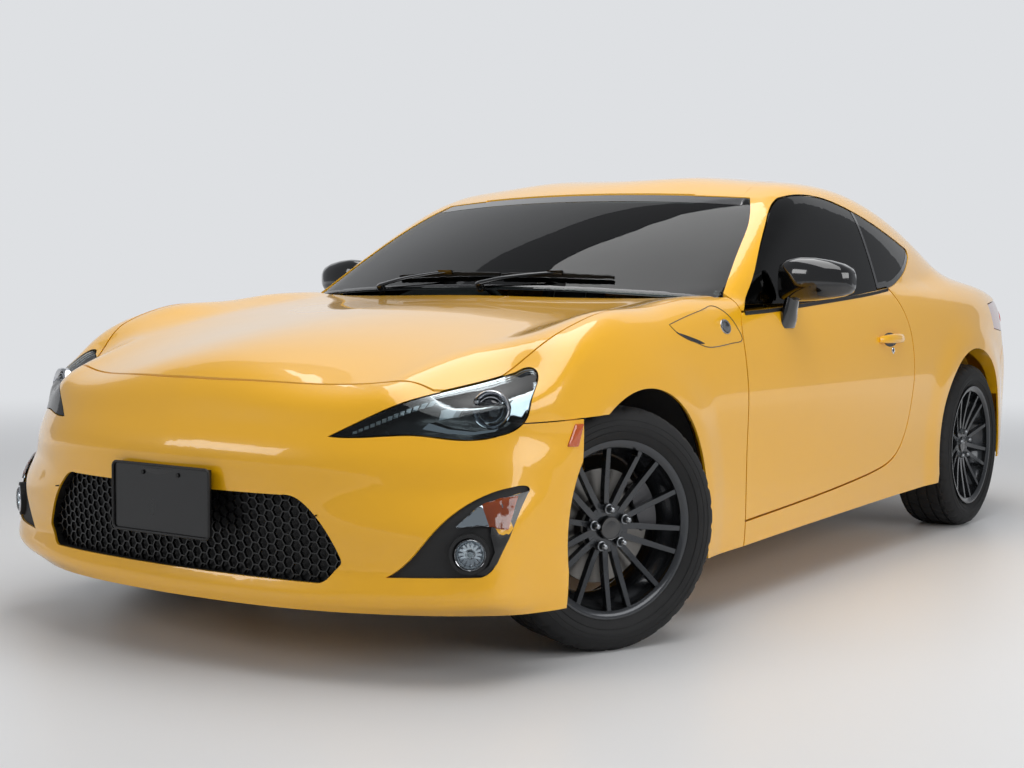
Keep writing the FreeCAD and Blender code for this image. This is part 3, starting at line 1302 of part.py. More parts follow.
# Front suspension: lower arms on a cross beam, struts under the tower plates.
arm_end = along_axis(20, steer_point - steer_way * lug_half, 2 * lug_half)
ball_pin = along_axis(9, steer_point - steer_way * lug_half, 2 * lug_half + 26)
arm_root = (ball_x - 12, front_axle, ball_z - 7)
low_arm = joined([rod(9, arm_root, (500, front_axle - 15, ball_z)), rod(9, arm_root, (520, front_axle + 115, ball_z)),
                  Part.makeSphere(15, Vector(500, front_axle - 15, ball_z)),
                  Part.makeSphere(13, Vector(520, front_axle + 115, ball_z)),
                  rod(15, (500, front_axle - 15, ball_z), (350, front_axle - 30, 215)),
                  rod(13, (520, front_axle + 115, ball_z), (370, front_axle + 240, 215)), arm_end, ball_pin])
strut_base = on_axis(strut_foot_z - 6)
strut = joined([along_axis(strut_radius, strut_base, 190), along_axis(11, strut_base + steer_way * 185, 170),
                along_axis(62, on_axis(650), 6)])
spring = along_axis(52, on_axis(655), 95).cut(along_axis(44, on_axis(650), 120))
top_plane = box(400, 800, -1500, -1100, tower_plate - seat_gap, 1000)
spring = spring.cut(top_plane)
spring_plate = along_axis(62, on_axis(650), 6)
corner = joined([strut, spring, spring_plate])
corner = corner.cut(box(400, 800, -1500, -1100, tower_plate - seat_gap, 1000).cut(
    along_axis(11, on_axis(700), 170)))
beam = box(0, 385, front_axle - 70, front_axle + 10, 196, 232)
beam_post = box(rail_inner + 5, rail_outer - 5, front_axle - 70, front_axle + 10, 196, rail_low - seat_gap)
rear_bush = box(335, 400, front_axle + 215, front_axle + 262, 196, 238)
rear_post = box(rail_inner + 5, rail_outer - 5, front_axle + 215, front_axle + 262, 196, rail_low - seat_gap)
half_front = joined([low_arm, beam, beam_post, rear_bush, rear_post, box(350, 420, front_axle - 70,
                                                                           front_axle + 10, 196, 232)])
front_parts = joined([half_front, mirrored(half_front)])
save("front_suspension", biggest(front_parts), corner, mirrored(corner))

# Rear suspension: uprights, arms to a cross beam, coil struts up to the floor.
rear_upright = upright(disc_rear, 70)
rear_upright.translate(Vector(rear_track / 2, rear_axle, tyre_radius))
low_z = tyre_radius - 95
rear_half = joined([
    rear_upright, rod(13, (735, rear_axle, low_z + 20), (330, rear_axle - 60, 262)),
    rod(13, (735, rear_axle, low_z + 20), (330, rear_axle + 60, 262)),
    rod(13, (735, rear_axle, tyre_radius + 60), (330, rear_axle, tyre_radius + 70)),
    box(722, 748, rear_axle - 16, rear_axle + 16, low_z, tyre_radius + 78),
    box(310, 350, rear_axle - 130, rear_axle + 130, 240, boot_floor - seat_gap),
    box(0, 350, rear_axle - 130, rear_axle - 96, 240, 290)])
rear_half = rear_half.cut(rod(15 + seat_gap, (200, rear_axle, tyre_radius), (652, rear_axle, tyre_radius)))
rear_parts = joined([rear_half, mirrored(rear_half)])
rear_parts = rear_parts.cut(rod(32 + 4, (0, rear_axle - 300, shaft_z), (0, rear_axle + 100, shaft_z)))
rear_parts = rear_parts.cut(rod(78 + seat_gap, (0, rear_axle - 100, shaft_z), (0, rear_axle + 95, shaft_z)))
save("rear_suspension", biggest(rear_parts))

# Cabin: dashboard with console and column, seats, steering wheel.
driver_x = -370.0
dash = side_prism([
    [(firewall_y + seat_gap, 560), (firewall_y + seat_gap, 830)],
    [(firewall_y + seat_gap, 830), (-640, 868), (-520, 884), (-440, 872), (-410, 830)],
    [(-410, 830), (-440, 740), (-480, 640), (-520, 560)],
    [(-520, 560), (firewall_y + seat_gap, 560)]], -680, 680)
console = side_prism([
    [(-560, tunnel_top + seat_gap), (-560, 640)], [(-560, 640), (-460, 620), (-330, 520), (-150, 500), (260, 520)],
    [(260, 520), (300, 500), (300, tunnel_top + seat_gap)],
    [(300, tunnel_top + seat_gap), (-560, tunnel_top + seat_gap)]], -95, 95)
wheel_centre = Vector(driver_x, -330, 792)
wheel_tilt = 24.0
boss_end = 32.0
column_way = Vector(0, -math.cos(math.radians(wheel_tilt)), -math.sin(math.radians(wheel_tilt)))
column = Part.makeCylinder(34, 190, wheel_centre + column_way * (boss_end + seat_gap), column_way)
save("dashboard", biggest(joined([dash, console, column])))
ring = Part.makeTorus(176, 14, wheel_centre, column_way)
boss = Part.makeCylinder(44, boss_end - 4, wheel_centre + column_way * 4, column_way)
wheel_pieces = [ring, boss]
for a in (0, 180, 270):
    arm = box(0, 172, -15, 15, 4, 18)
    arm.rotate(Vector(0, 0, 0), Vector(0, 0, 1), a)
    arm.rotate(Vector(0, 0, 0), Vector(1, 0, 0), 90 + wheel_tilt)
    arm.translate(wheel_centre)
    wheel_pieces.append(arm)
save("steering_wheel", biggest(joined(wheel_pieces)))


def seat(x):
    half = 215.0
    base = side_prism([
        [(-330, floor_top + seat_gap), (-330, 330)], [(-330, 330), (-300, 400), (-100, 392), (160, 372)],
        [(160, 372), (190, floor_top + seat_gap)],
        [(190, floor_top + seat_gap), (-330, floor_top + seat_gap)]], x - half, x + half)
    back = side_prism([
        [(120, 375), (300, 330)], [(300, 330), (372, 600), (430, 800), (462, 960)],
        [(462, 960), (450, 1010), (420, 1035), (386, 1030), (368, 990)],
        [(368, 990), (300, 800), (200, 560), (120, 375)]], x - half + 10, x + half - 10)
    taper = front_prism([
        [(x - half, 200), (x + half, 200)], [(x + half, 200), (x + half, 560), (x + half - 20, 700), (x + 150, 850),
                                             (x + 128, 1000)],
        [(x + 128, 1000), (x + 105, 1050), (x - 105, 1050), (x - 128, 1000)],
        [(x - 128, 1000), (x - 150, 850), (x - half + 20, 700), (x - half, 560), (x - half, 200)]], -400, 600)
    return biggest(joined([base, back]).common(taper))


save("front_seats", seat(-driver_x), seat(driver_x))
rear_seat = side_prism([
    [(560, tunnel_top + seat_gap), (560, 470)], [(560, 470), (600, 500), (750, 480), (800, 470)],
    [(800, 470), (860, 700), (900, 850)], [(900, 850), (925, 862), (bulkhead_y - seat_gap, 850)],
    [(bulkhead_y - seat_gap, 850), (bulkhead_y - seat_gap, tunnel_top + seat_gap)],
    [(bulkhead_y - seat_gap, tunnel_top + seat_gap), (560, tunnel_top + seat_gap)]], -545, 545)
save("rear_seat", rear_seat)

# Radiator behind the grille, standing on the tray.
save("radiator", box(-330, 330, -1905, -1855, 206 + seat_gap, 560))

# Mirrors: a rounded shell on a foot that grows out of the door's shoulder.
def ring_at(x, middle_y, middle_z, half_y, half_z, lean):
    points = []
    for a in spread(0, 360, 13)[:-1]:
        c = math.cos(math.radians(a))
        s = math.sin(math.radians(a))
        c = math.copysign(abs(c) ** 0.8, c)
        s = math.copysign(abs(s) ** 0.8, s)
        points.append(Vector(x, middle_y + half_y * c + lean * s, middle_z + half_z * s))
    curve = Part.BSplineCurve()
    curve.interpolate(points, PeriodicFlag=True)
    return Part.Wire(curve.toShape())


mirror_rings = [(862, -352, 958, 22, 24, 6), (880, -350, 960, 40, 40, 8), (920, -346, 962, 52, 50, 10),
                (970, -340, 963, 54, 52, 10), (1008, -332, 962, 44, 44, 8), (1034, -325, 960, 18, 22, 4)]
mirror_shell = Part.makeLoft([ring_at(*r) for r in mirror_rings], True, False)
foot_rings = [(822, -350, 800, 40, 12, 0), (850, -350, 830, 34, 10, 0), (885, -347, 890, 26, 12, 0),
              (905, -345, 932, 24, 14, 0)]
mirror_foot = Part.makeLoft([ring_at(*r) for r in foot_rings], True, False)
mirror = mirror_shell.fuse(mirror_foot)
mirror = biggest(mirror.cut(thick_patch(door_net(lower_body, -seat_gap), door_net(side_only, door_depth))))
save("mirror_left", mirror)
save("mirror_right", mirrored(mirror))
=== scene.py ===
"""A yellow two-door coupe: the finishes and fine pieces that go over its measured frame.

All places are in metres on the frame's own axes: the front looks along -Y, the car's left is +X,
the ground is at Z 0. Sizes written in millimetres pass through mm().
"""
import json
import math

import bpy
import bmesh
from mathutils import Matrix, Vector
from mathutils.bvhtree import BVHTree


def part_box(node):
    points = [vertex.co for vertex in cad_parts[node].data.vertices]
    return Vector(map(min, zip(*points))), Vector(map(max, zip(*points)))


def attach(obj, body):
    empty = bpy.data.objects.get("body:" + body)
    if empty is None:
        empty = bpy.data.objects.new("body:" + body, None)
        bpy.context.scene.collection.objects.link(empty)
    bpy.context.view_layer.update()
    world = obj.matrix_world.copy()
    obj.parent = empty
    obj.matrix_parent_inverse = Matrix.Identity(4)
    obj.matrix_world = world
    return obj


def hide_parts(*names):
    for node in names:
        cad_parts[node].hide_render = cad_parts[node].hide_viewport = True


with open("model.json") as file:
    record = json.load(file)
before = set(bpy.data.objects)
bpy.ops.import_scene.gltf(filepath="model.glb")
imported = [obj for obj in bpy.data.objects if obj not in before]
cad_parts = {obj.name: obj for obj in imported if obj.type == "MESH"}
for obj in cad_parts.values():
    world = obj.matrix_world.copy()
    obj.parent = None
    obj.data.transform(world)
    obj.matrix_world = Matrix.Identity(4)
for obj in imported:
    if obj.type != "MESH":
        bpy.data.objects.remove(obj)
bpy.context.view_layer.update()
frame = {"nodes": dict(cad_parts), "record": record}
nodes = frame["nodes"]


# The pressed steel and plastic panels, in one gloss yellow lacquer under a clear coat.
# Each panel keeps its own mesh, smoothed where the metal is curved and crisp at its folds.

def mm(*values):
    """A point given in millimetres."""
    return Vector(values) / 1000


def light_values(colour):
    """The plain light values of a colour given as it looks on a screen, 0 to 255."""
    values = []
    for c in colour:
        c = c / 255
        values.append(c / 12.92 if c <= 0.04045 else ((c + 0.055) / 1.055) ** 2.4)
    return (*values, 1.0)


def add_node(tree, kind, **values):
    """A new shader node of the kind named, with values for its inputs; _ stands for a space."""
    made = tree.nodes.new("ShaderNode" + kind)
    for name, value in values.items():
        made.inputs[name.replace("_", " ")].default_value = value
    return made


def finish(name, colour, rough, metal=0.0, coat=0.0, uneven=0.05, cloud=6.0, grain=0.0, grain_size=900.0,
           edge=0.0):
    """A finish whose gloss drifts softly, with a fine grain and broken edges where asked for."""
    made = bpy.data.materials.new(name)
    made.use_nodes = True
    tree = made.node_tree
    shader = tree.nodes["Principled BSDF"]
    for socket, value in (("Base Color", light_values(colour)), ("Metallic", metal), ("Coat Weight", coat),
                          ("Coat Roughness", 0.03)):
        shader.inputs[socket].default_value = value
    place = add_node(tree, "TexCoord")
    clouds = add_node(tree, "TexNoise", Scale=cloud)
    tree.links.new(place.outputs["Object"], clouds.inputs["Vector"])
    gloss = add_node(tree, "MapRange", To_Min=max(0.0, rough - uneven), To_Max=min(1.0, rough + uneven))
    tree.links.new(clouds.outputs["Fac"], gloss.inputs["Value"])
    tree.links.new(gloss.outputs["Result"], shader.inputs["Roughness"])
    normal = None
    if edge:
        rounding = add_node(tree, "Bevel", Radius=edge)
        rounding.samples = 4
        normal = rounding.outputs["Normal"]
    if grain:
        specks = add_node(tree, "TexNoise", Scale=grain_size)
        tree.links.new(place.outputs["Object"], specks.inputs["Vector"])
        relief = add_node(tree, "Bump", Strength=grain, Distance=0.0005)
        tree.links.new(specks.outputs["Fac"], relief.inputs["Height"])
        if normal:
            tree.links.new(normal, relief.inputs["Normal"])
        normal = relief.outputs["Normal"]
    if normal:
        tree.links.new(normal, shader.inputs["Normal"])
    return made


node_slots = {part["node"]: part["material_slot"] for part in frame["record"]["subparts"]}


def dress(slot, made, fold=30):
    """Gives every panel of a slot its finish, and smooths it up to folds of the angle given."""
    for name, wanted in node_slots.items():
        if wanted == slot:
            mesh = nodes[name].data
            if not nodes[name].material_slots:
                mesh.materials.append(made)
            for place in nodes[name].material_slots:
                place.material = made
            mesh.polygons.foreach_set("use_smooth", [True] * len(mesh.polygons))
            mesh.set_sharp_from_angle(angle=math.radians(fold))


paint = finish("paint", (250, 184, 6), 0.34, coat=1.0, uneven=0.03, grain=0.02, grain_size=2600, edge=0.0015)
dress("body_paint", paint)
# The shell's inner panels get a duller yellow under a thin clear coat. Its darker tone is painted shade, so
# the gaps and inner panels read dark.
shell_paint = finish("shell paint darkened as painted shade", (206, 152, 24), 0.5, coat=0.2, grain=0.08, grain_size=1200)
dress("shell_paint", shell_paint)


# The glass: laminated screen and toughened side panes, tinted dark, with a black fired border
# where each pane is glued or held, so that its edge and the glue line can't be seen.

def glass(name, tint, bend):
    """Clear or tinted glass that lets light through by its tint and mirrors at a glancing angle."""
    made = bpy.data.materials.new(name)
    made.use_nodes = True
    tree = made.node_tree
    tree.nodes.remove(tree.nodes["Principled BSDF"])
    through = add_node(tree, "BsdfTransparent", Color=light_values(tint))
    mirror = add_node(tree, "BsdfGlossy", Roughness=0.0)
    fresnel = add_node(tree, "Fresnel", IOR=bend)
    place = add_node(tree, "TexCoord")
    waves = add_node(tree, "TexNoise", Scale=3.0)
    relief = add_node(tree, "Bump", Strength=0.02)
    tree.links.new(place.outputs["Object"], waves.inputs["Vector"])
    tree.links.new(waves.outputs["Fac"], relief.inputs["Height"])
    tree.links.new(relief.outputs["Normal"], mirror.inputs["Normal"])
    mix = add_node(tree, "MixShader")
    tree.links.new(fresnel.outputs["Fac"], mix.inputs[0])
    tree.links.new(through.outputs["BSDF"], mix.inputs[1])
    tree.links.new(mirror.outputs["BSDF"], mix.inputs[2])
    tree.links.new(mix.outputs["Shader"], tree.nodes["Material Output"].inputs["Surface"])
    return made


dress("clear_glass", glass("side glass", (98, 106, 105), bend=1.4))
screen_glass = glass("screen glass", (178, 188, 186), bend=1.32)
for place in nodes["windscreen"].material_slots:
    place.material = screen_glass
enamel = finish("black enamel", (7, 7, 8), 0.16, coat=0.6)
# The car's two sides: the sign of X there, and the word in the names of what lies there.
flanks = ((1, "left"), (-1, "right"))


def turns(count):
    """The angles of a full turn, evenly spread."""
    return [2 * math.pi * k / count for k in range(count)]


class Pile:
    """Faces gathered for one piece, each with the place of its finish in the piece's own list."""

    def __init__(self):
        self.points = []
        self.faces = []
        self.kinds = []

    def add(self, points, faces, kind=0):
        base = len(self.points)
        self.points += [Vector(p) for p in points]
        self.faces += [[base + i for i in face] for face in faces]
        self.kinds += [kind] * len(faces)

    def net(self, rows, kind=0, closed=False, capped=False):
        """Faces between rows of points. Closed joins each row's end to its start."""
        wide = len(rows[0])
        faces = []
        for i in range(len(rows) - 1):
            for j in range(wide if closed else wide - 1):
                k = (j + 1) % wide
                faces.append([i * wide + j, i * wide + k, (i + 1) * wide + k, (i + 1) * wide + j])
        if capped:
            faces.append(list(range(wide))[::-1])
            faces.append([(len(rows) - 1) * wide + j for j in range(wide)])
        self.add([p for row in rows for p in row], faces, kind)

    def solid(self, rows, kind=0):
        """A closed net whose two ends are filled."""
        self.net(rows, kind, closed=True, capped=True)

    def tube(self, path, radius, kind=0, sides=8, closed=False, flat=1.0, up=None):
        """A round or flattened bar along a path of points; radius may differ from point to point."""
        path = [Vector(p) for p in path]
        radii = radius if isinstance(radius, (list, tuple)) else [radius] * len(path)
        rows = []
        last = Vector(up) if up else None
        for i, p in enumerate(path):
            before = path[i - 1] if i or closed else p
            after = path[(i + 1) % len(path)] if i + 1 < len(path) or closed else p
            way = (after - before).normalized()
            if last is None:
                last = way.orthogonal()
            last = (last - way * last.dot(way)).normalized()
            side = way.cross(last)
            rows.append([p + (last * math.cos(a) * flat + side * math.sin(a)) * radii[i]
                         for a in turns(sides)])
        if closed:
            rows.append(rows[0])
        self.net(rows, kind, closed=True, capped=not closed)

    def lathe(self, profile, origin, way, kind=0, steps=32, up=(0, 0, 1)):
        """A profile of (distance along the axis, radius) pairs turned about an axis."""
        way = Vector(way).normalized()
        up = Vector(up)
        up = (up - way * up.dot(way))
        up = up.normalized() if up.length > 1e-6 else way.orthogonal().normalized()
        side = way.cross(up)
        rows = [[Vector(origin) + way * x + (up * math.cos(a) + side * math.sin(a)) * r for a in turns(steps)]
                for x, r in profile]
        self.net(rows, kind, closed=True)

    def block(self, low, high, edge=0.002, kind=0, place=None):
        """A box with broken edges, between two corners."""
        low = Vector(low)
        high = Vector(high)
        points = []
        for i in range(8):
            corner = [(high if i >> k & 1 else low)[k] for k in range(3)]
            for k in range(3):
                inner = [corner[n] + (-edge if i >> n & 1 else edge) for n in range(3)]
                inner[k] = corner[k]
                points.append(Vector(inner))
        self.hull(points, kind, place)

    def hull(self, points, kind=0, place=None):
        """The skin drawn tight round a set of points."""
        bm = bmesh.new()
        for p in points:
            bm.verts.new(place @ Vector(p) if place else Vector(p))
        bmesh.ops.convex_hull(bm, input=bm.verts)
        bmesh.ops.dissolve_limit(bm, angle_limit=0.01, verts=bm.verts, edges=bm.edges)
        bm.verts.index_update()
        kept = [v for v in bm.verts if v.link_faces]
        place_of = {v: i for i, v in enumerate(kept)}
        self.add([v.co.copy() for v in kept], [[place_of[v] for v in f.verts] for f in bm.faces], kind)
        bm.free()

    def bar(self, low_x, high_x, outline, kind=0):
        """The tight skin of a (y, z) outline drawn from one x to another, all in millimetres."""
        self.hull([mm(x, y, z) for x in (low_x, high_x) for y, z in outline], kind)

    def done(self, name, body, finishes, slot, fold=35):
        """Makes the piece, smooths it up to folds of the angle given, and puts it on its body."""
        mesh = bpy.data.meshes.new(name)
        mesh.from_pydata(self.points, [], self.faces)
        for made in finishes:
            mesh.materials.append(made)
        mesh.polygons.foreach_set("material_index", self.kinds)
        bm = bmesh.new()
        bm.from_mesh(mesh)
        bmesh.ops.recalc_face_normals(bm, faces=bm.faces)
        bm.to_mesh(mesh)
        bm.free()
        mesh.polygons.foreach_set("use_smooth", [True] * len(mesh.polygons))
        mesh.set_sharp_from_angle(angle=math.radians(fold))
        piece = bpy.data.objects.new(name, mesh)
        bpy.context.scene.collection.objects.link(piece)
        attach(piece, body)
        return piece


def skin(*names):
    """The faces of some frame nodes, to lay pieces on."""
    points = []
    faces = []
    for name in names:
        base = len(points)
        points += [v.co.copy() for v in nodes[name].data.vertices]
        faces += [[base + i for i in p.vertices] for p in nodes[name].data.polygons]
    return BVHTree.FromPolygons(points, faces)


def rim_of(name, outward, side_of_axis=None):
    """The outer edge of a pane's outer face, as a closed run of points with the face's normals.

    outward tells which way is out at a point. Only triangles that look that way are taken."""
    mesh = nodes[name].data
    bm = bmesh.new()
    bm.from_mesh(mesh)
    bmesh.ops.remove_doubles(bm, verts=bm.verts, dist=0.00002)
    bm.normal_update()
    facing = [f for f in bm.faces if f.normal.dot(outward(f.calc_center_median())) > 0.35
              and (side_of_axis is None or f.calc_center_median().x * side_of_axis > 0)]
    bmesh.ops.delete(bm, geom=[f for f in bm.faces if f not in set(facing)], context="FACES")
    edges = [e for e in bm.edges if len(e.link_faces) == 1]
    nexts = {}
    for e in edges:
        a, b = e.verts
        nexts.setdefault(a, []).append(b)
        nexts.setdefault(b, []).append(a)
    best = []
    seen = set()
    for start in nexts:
        if start in seen:
            continue
        run = [start]
        seen.add(start)
        here = start
        while True:
            ahead = [v for v in nexts[here] if v not in seen]
            if not ahead:
                break
            here = ahead[0]
            seen.add(here)
            run.append(here)
        length = sum((run[i].co - run[i - 1].co).length for i in range(1, len(run)))
        if not best or length > best[0]:
            best = (length, [(v.co.copy(), v.normal.copy()) for v in run])
    tree = BVHTree.FromBMesh(bm)
    bm.free()
    return best[1], tree


def border(name, widths, outward, side_of_axis=None):
    """A black band on a pane, of the width that widths(point) gives, measured in from its edge."""
    run, tree = rim_of(name, outward, side_of_axis)
    gap = 0.012
    lift = 0.0006
    even = []
    carried = 0.0
    for i in range(len(run)):
        a = run[i][0]
        b = run[(i + 1) % len(run)][0]
        length = (b - a).length
        while carried < length:
            even.append(a.lerp(b, carried / length if length else 0))
            carried += gap
        carried -= length
    middle = sum(even, Vector()) / len(even)
    rows = [[], [], []]
    for i, p in enumerate(even):
        along = (even[(i + 1) % len(even)] - even[i - 1]).normalized()
        near, normal, _, _ = tree.find_nearest(p)
        inward = normal.cross(along).normalized()
        if inward.dot(middle - p) < 0:
            inward = -inward
        for row, share in zip(rows, (0.0, 0.5, 1.0)):
            target, facing, _, _ = tree.find_nearest(p + inward * widths(p) * share)
            row.append(target + facing * lift)
    pile = Pile()
    pile.net(rows, closed=True)
    return pile


def out_and_up(p):
    """Away from the cabin's middle."""
    return Vector((p.x, p.y * 0.6, (p.z - 0.6) * 1.4)).normalized()


def screen_widths(p):
    """The windscreen's border: widest at the roof, then at the cowl, and slim at the posts."""
    if p.z > 1.17:
        return 0.062
    return 0.034 if abs(p.x) > 0.62 or p.z > 0.95 else 0.046


border("windscreen", screen_widths, out_and_up).done(
    "windscreen_border", "chassis", [enamel], "clear_glass")
border("rear_screen", lambda p: 0.05, out_and_up).done(
    "rear_screen_border", "chassis", [enamel], "clear_glass")
for side, word in flanks:
    border("quarter_glass", lambda p: 0.02, out_and_up, side_of_axis=side).done(
        f"quarter_border_{word}", "chassis", [enamel], "clear_glass")


# Headlamps: clear covers of hard plastic. Behind each is a dark housing, open in front, with a
# projector in its chrome ring, a row of small bright cells and a mirror-bright outer end.
lens_clear = glass("lamp cover", (232, 238, 240), bend=1.35)
dress("lamp_lens", lens_clear)
lamp_black = finish("lamp housing", (16, 17, 18), 0.28, coat=0.4, grain=0.05)
dress("lamp_dark", lamp_black)
chrome = finish("chrome", (214, 216, 220), 0.07, metal=1.0, uneven=0.02)
satin = finish("satin metal", (150, 153, 156), 0.3, metal=1.0, grain=0.03)
lamp_white = finish("lamp cell", (225, 232, 236), 0.12, coat=1.0)
amber = finish("amber lens", (196, 84, 14), 0.08, coat=1.0)
lens_ball = finish("projector lens", (20, 26, 32), 0.03, coat=1.0, uneven=0.01)

lamp_front = skin("headlamp_lenses")
lamp_way = Vector((0.34, -0.93, 0.14)).normalized()


def lamp_point(x, z, depth):
    """A point behind the lamp's cover at the given place as seen from the front, in millimetres."""
    found = lamp_front.ray_cast(mm(x, -2400, z), Vector((0, 1, 0)))
    y = found[0].y if found[0] else -1.8
    return Vector((x / 1000, y + depth / 1000, z / 1000))


# Places in the left lamp as seen from the front, (x, z): the line of the bright cells, the mirror
# strip at the outer end and the one along the foot.
cell_count = 19
cell_line = [(500, 588), (540, 609), (580, 630), (620, 651), (660, 670), (700, 684)]
outer_strip = [(795, 706), (812, 688), (819, 655), (819, 622), (808, 603), (790, 606), (786, 640), (782, 690)]
foot_strip = [(650, 604), (690, 590), (735, 584), (775, 590), (770, 584), (735, 577), (690, 580), (640, 590)]
signal_cell = [(664, 632), (690, 640), (692, 616), (668, 610)]
housing = nodes["headlamp_bowls"].data
pile = Pile()
for polygon in housing.polygons:
    middle = polygon.center
    if lamp_front.find_nearest(middle)[3] > 0.0032 or polygon.normal.y > -0.2:
        pile.add([housing.vertices[i].co.copy() for i in polygon.vertices],
                 [list(range(len(polygon.vertices)))])
for side in (1, -1):
    def at(x, z, depth):
        p = lamp_point(x, z, depth)
        return Vector((p.x * side, p.y, p.z))

    way = Vector((lamp_way.x * side, lamp_way.y, lamp_way.z))
    heart = at(751, 633, 30)
    pile.lathe([(-0.012, 0.046), (0.006, 0.046), (0.010, 0.043), (0.006, 0.039), (-0.006, 0.034),
                (-0.012, 0.031)], heart, way, 1, 40)
    pile.lathe([(-0.004, 0.0305), (0.004, 0.0305), (0.006, 0.0285), (0.003, 0.0265)], heart, way, 1, 40)
    pile.lathe([(-0.006, 0.027), (0.0, 0.0262), (0.006, 0.022), (0.0095, 0.014), (0.011, 0.0)],
               heart, way, 2, 32)
    for i in range(cell_count):
        share = i / (cell_count - 1) * (len(cell_line) - 1)
        k = min(int(share), len(cell_line) - 2)
        x = cell_line[k][0] + (cell_line[k + 1][0] - cell_line[k][0]) * (share - k)
        z = cell_line[k][1] + (cell_line[k + 1][1] - cell_line[k][1]) * (share - k) - 6
        tall = 7 + 9 * i / (cell_count - 1)
        points = [at(x, z, 14), at(x + 9, z + 3, 14), at(x + 9, z + 3 - tall, 15), at(x, z - tall, 15),
                  at(x + 4, z - tall / 2, 9), at(x + 4, z - tall / 2, 26)]
        pile.hull(points, 3)
    pile.solid([[at(x, z, 12) for x, z in outer_strip], [at(x - 8, z, 44) for x, z in outer_strip]], 1)
    pile.solid([[at(x, z, deep) for x, z in foot_strip] for deep in (14, 40)], 1)
    pile.hull([at(x, z, deep) for deep in (12, 34) for x, z in signal_cell] + [at(678, 625, 8)], 3)
headlamp_inside = pile.done("headlamp_inside", "chassis", [lamp_black, chrome, lens_ball, lamp_white],
                            "lamp_dark", 40)
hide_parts("headlamp_bowls")


# Grille: a dark moulded tray in the nose with a honeycomb net across it and a plain blank plate.
moulded = finish("dark moulding", (17, 17, 18), 0.55, uneven=0.08, grain=0.35, grain_size=1500)
net_black = finish("net", (9, 9, 10), 0.35, coat=0.2, grain=0.05)
dress("plate_black", finish("plate", (10, 10, 11), 0.3, coat=0.3, grain=0.04))

grille_edge = [(355, 434), (392, 430), (420, 412), (500, 300), (504, 284), (492, 268), (468, 241), (452, 234)]
grille_edge = grille_edge + [(-x, z) for x, z in reversed(grille_edge)]


def inside(x, z, outline):
    """Whether a point lies within an outline."""
    hit = False
    for i in range(len(outline)):
        x1, z1 = outline[i]
        x2, z2 = outline[i - 1]
        if (z1 > z) != (z2 > z) and x < (x2 - x1) * (z - z1) / (z2 - z1) + x1:
            hit = not hit
    return hit


tray = skin("grille")


# The part of the tray's back wall that the net's depth is taken from, in millimetres.
wall_half = 470
wall_foot = 262
wall_top = 415
net_ahead = 0.015


def net_depth(x, z):
    """How far back the net lies, in front of the tray's back wall."""
    on_wall = mm(max(-wall_half, min(wall_half, x)), -2300, max(wall_foot, min(wall_top, z)))
    found = tray.ray_cast(on_wall, Vector((0, 1, 0)))
    return (found[0].y if found[0] else -2.03) - net_ahead


pile = Pile()
cell = 15.5
step_x = cell * 1.5
step_z = cell * math.sqrt(3)
bars = set()
for i in range(-24, 25):
    for j in range(0, 10):
        cx = i * step_x
        cz = 230 + j * step_z + (step_z / 2 if i % 2 else 0)
        ring = [(round(cx + cell * math.cos(a), 1), round(cz + cell * math.sin(a), 1))
                for a in (math.radians(60 * k) for k in range(6))]
        for k in range(6):
            a = ring[k]
            b = ring[(k + 1) % 6]
            if inside(*a, grille_edge) or inside(*b, grille_edge):
                bars.add(tuple(sorted((a, b))))
for a, b in sorted(bars):
    ends = [Vector((x / 1000, net_depth(x, z), z / 1000)) for x, z in (a, b)]
    way = (ends[1] - ends[0]).normalized()
    up = Vector((0, 1, 0)).cross(way).normalized() * 0.0016
    deep = Vector((0, 0.0055, 0))
    pile.solid([[e + up - deep * 0.4, e + up + deep, e - up + deep, e - up - deep * 0.4] for e in ends])
pile.done("grille_net", "chassis", [net_black], "black_plastic", 30)

# Plate frame: a thin moulded frame round the blank plate. Two plain screws through the plate hold
# it on the bumper.
frame_round = 0.012
low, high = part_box("number_plate")
plate_front = low.y
plate_x = (low.x + high.x) / 2
pile = Pile()
frame_corners = [(low.x, low.z), (high.x, low.z), (high.x, high.z), (low.x, high.z)]
frame_path = []
for k, (x, z) in enumerate(frame_corners):
    for a in range(0, 91, 15):
        turn = math.radians(180 + 90 * k + a)
        cx = x + (frame_round if x < plate_x else -frame_round)
        cz = z + (frame_round if k < 2 else -frame_round)
        frame_path.append(Vector((cx + frame_round * math.cos(turn), plate_front - 0.0005,
                                  cz + frame_round * math.sin(turn))))
pile.tube(frame_path, 0.0035, sides=8, closed=True, up=(0, 1, 0))
for x in (-0.06, 0.06):
    pile.lathe([(0.0, 0.0055), (0.0018, 0.005), (0.0024, 0.003), (0.0018, 0.0)],
               (plate_x + x, plate_front, high.z - 0.02), (0, -1, 0), 0, 16)
pile.done("plate_frame", "chassis", [moulded], "black_plastic", 40)


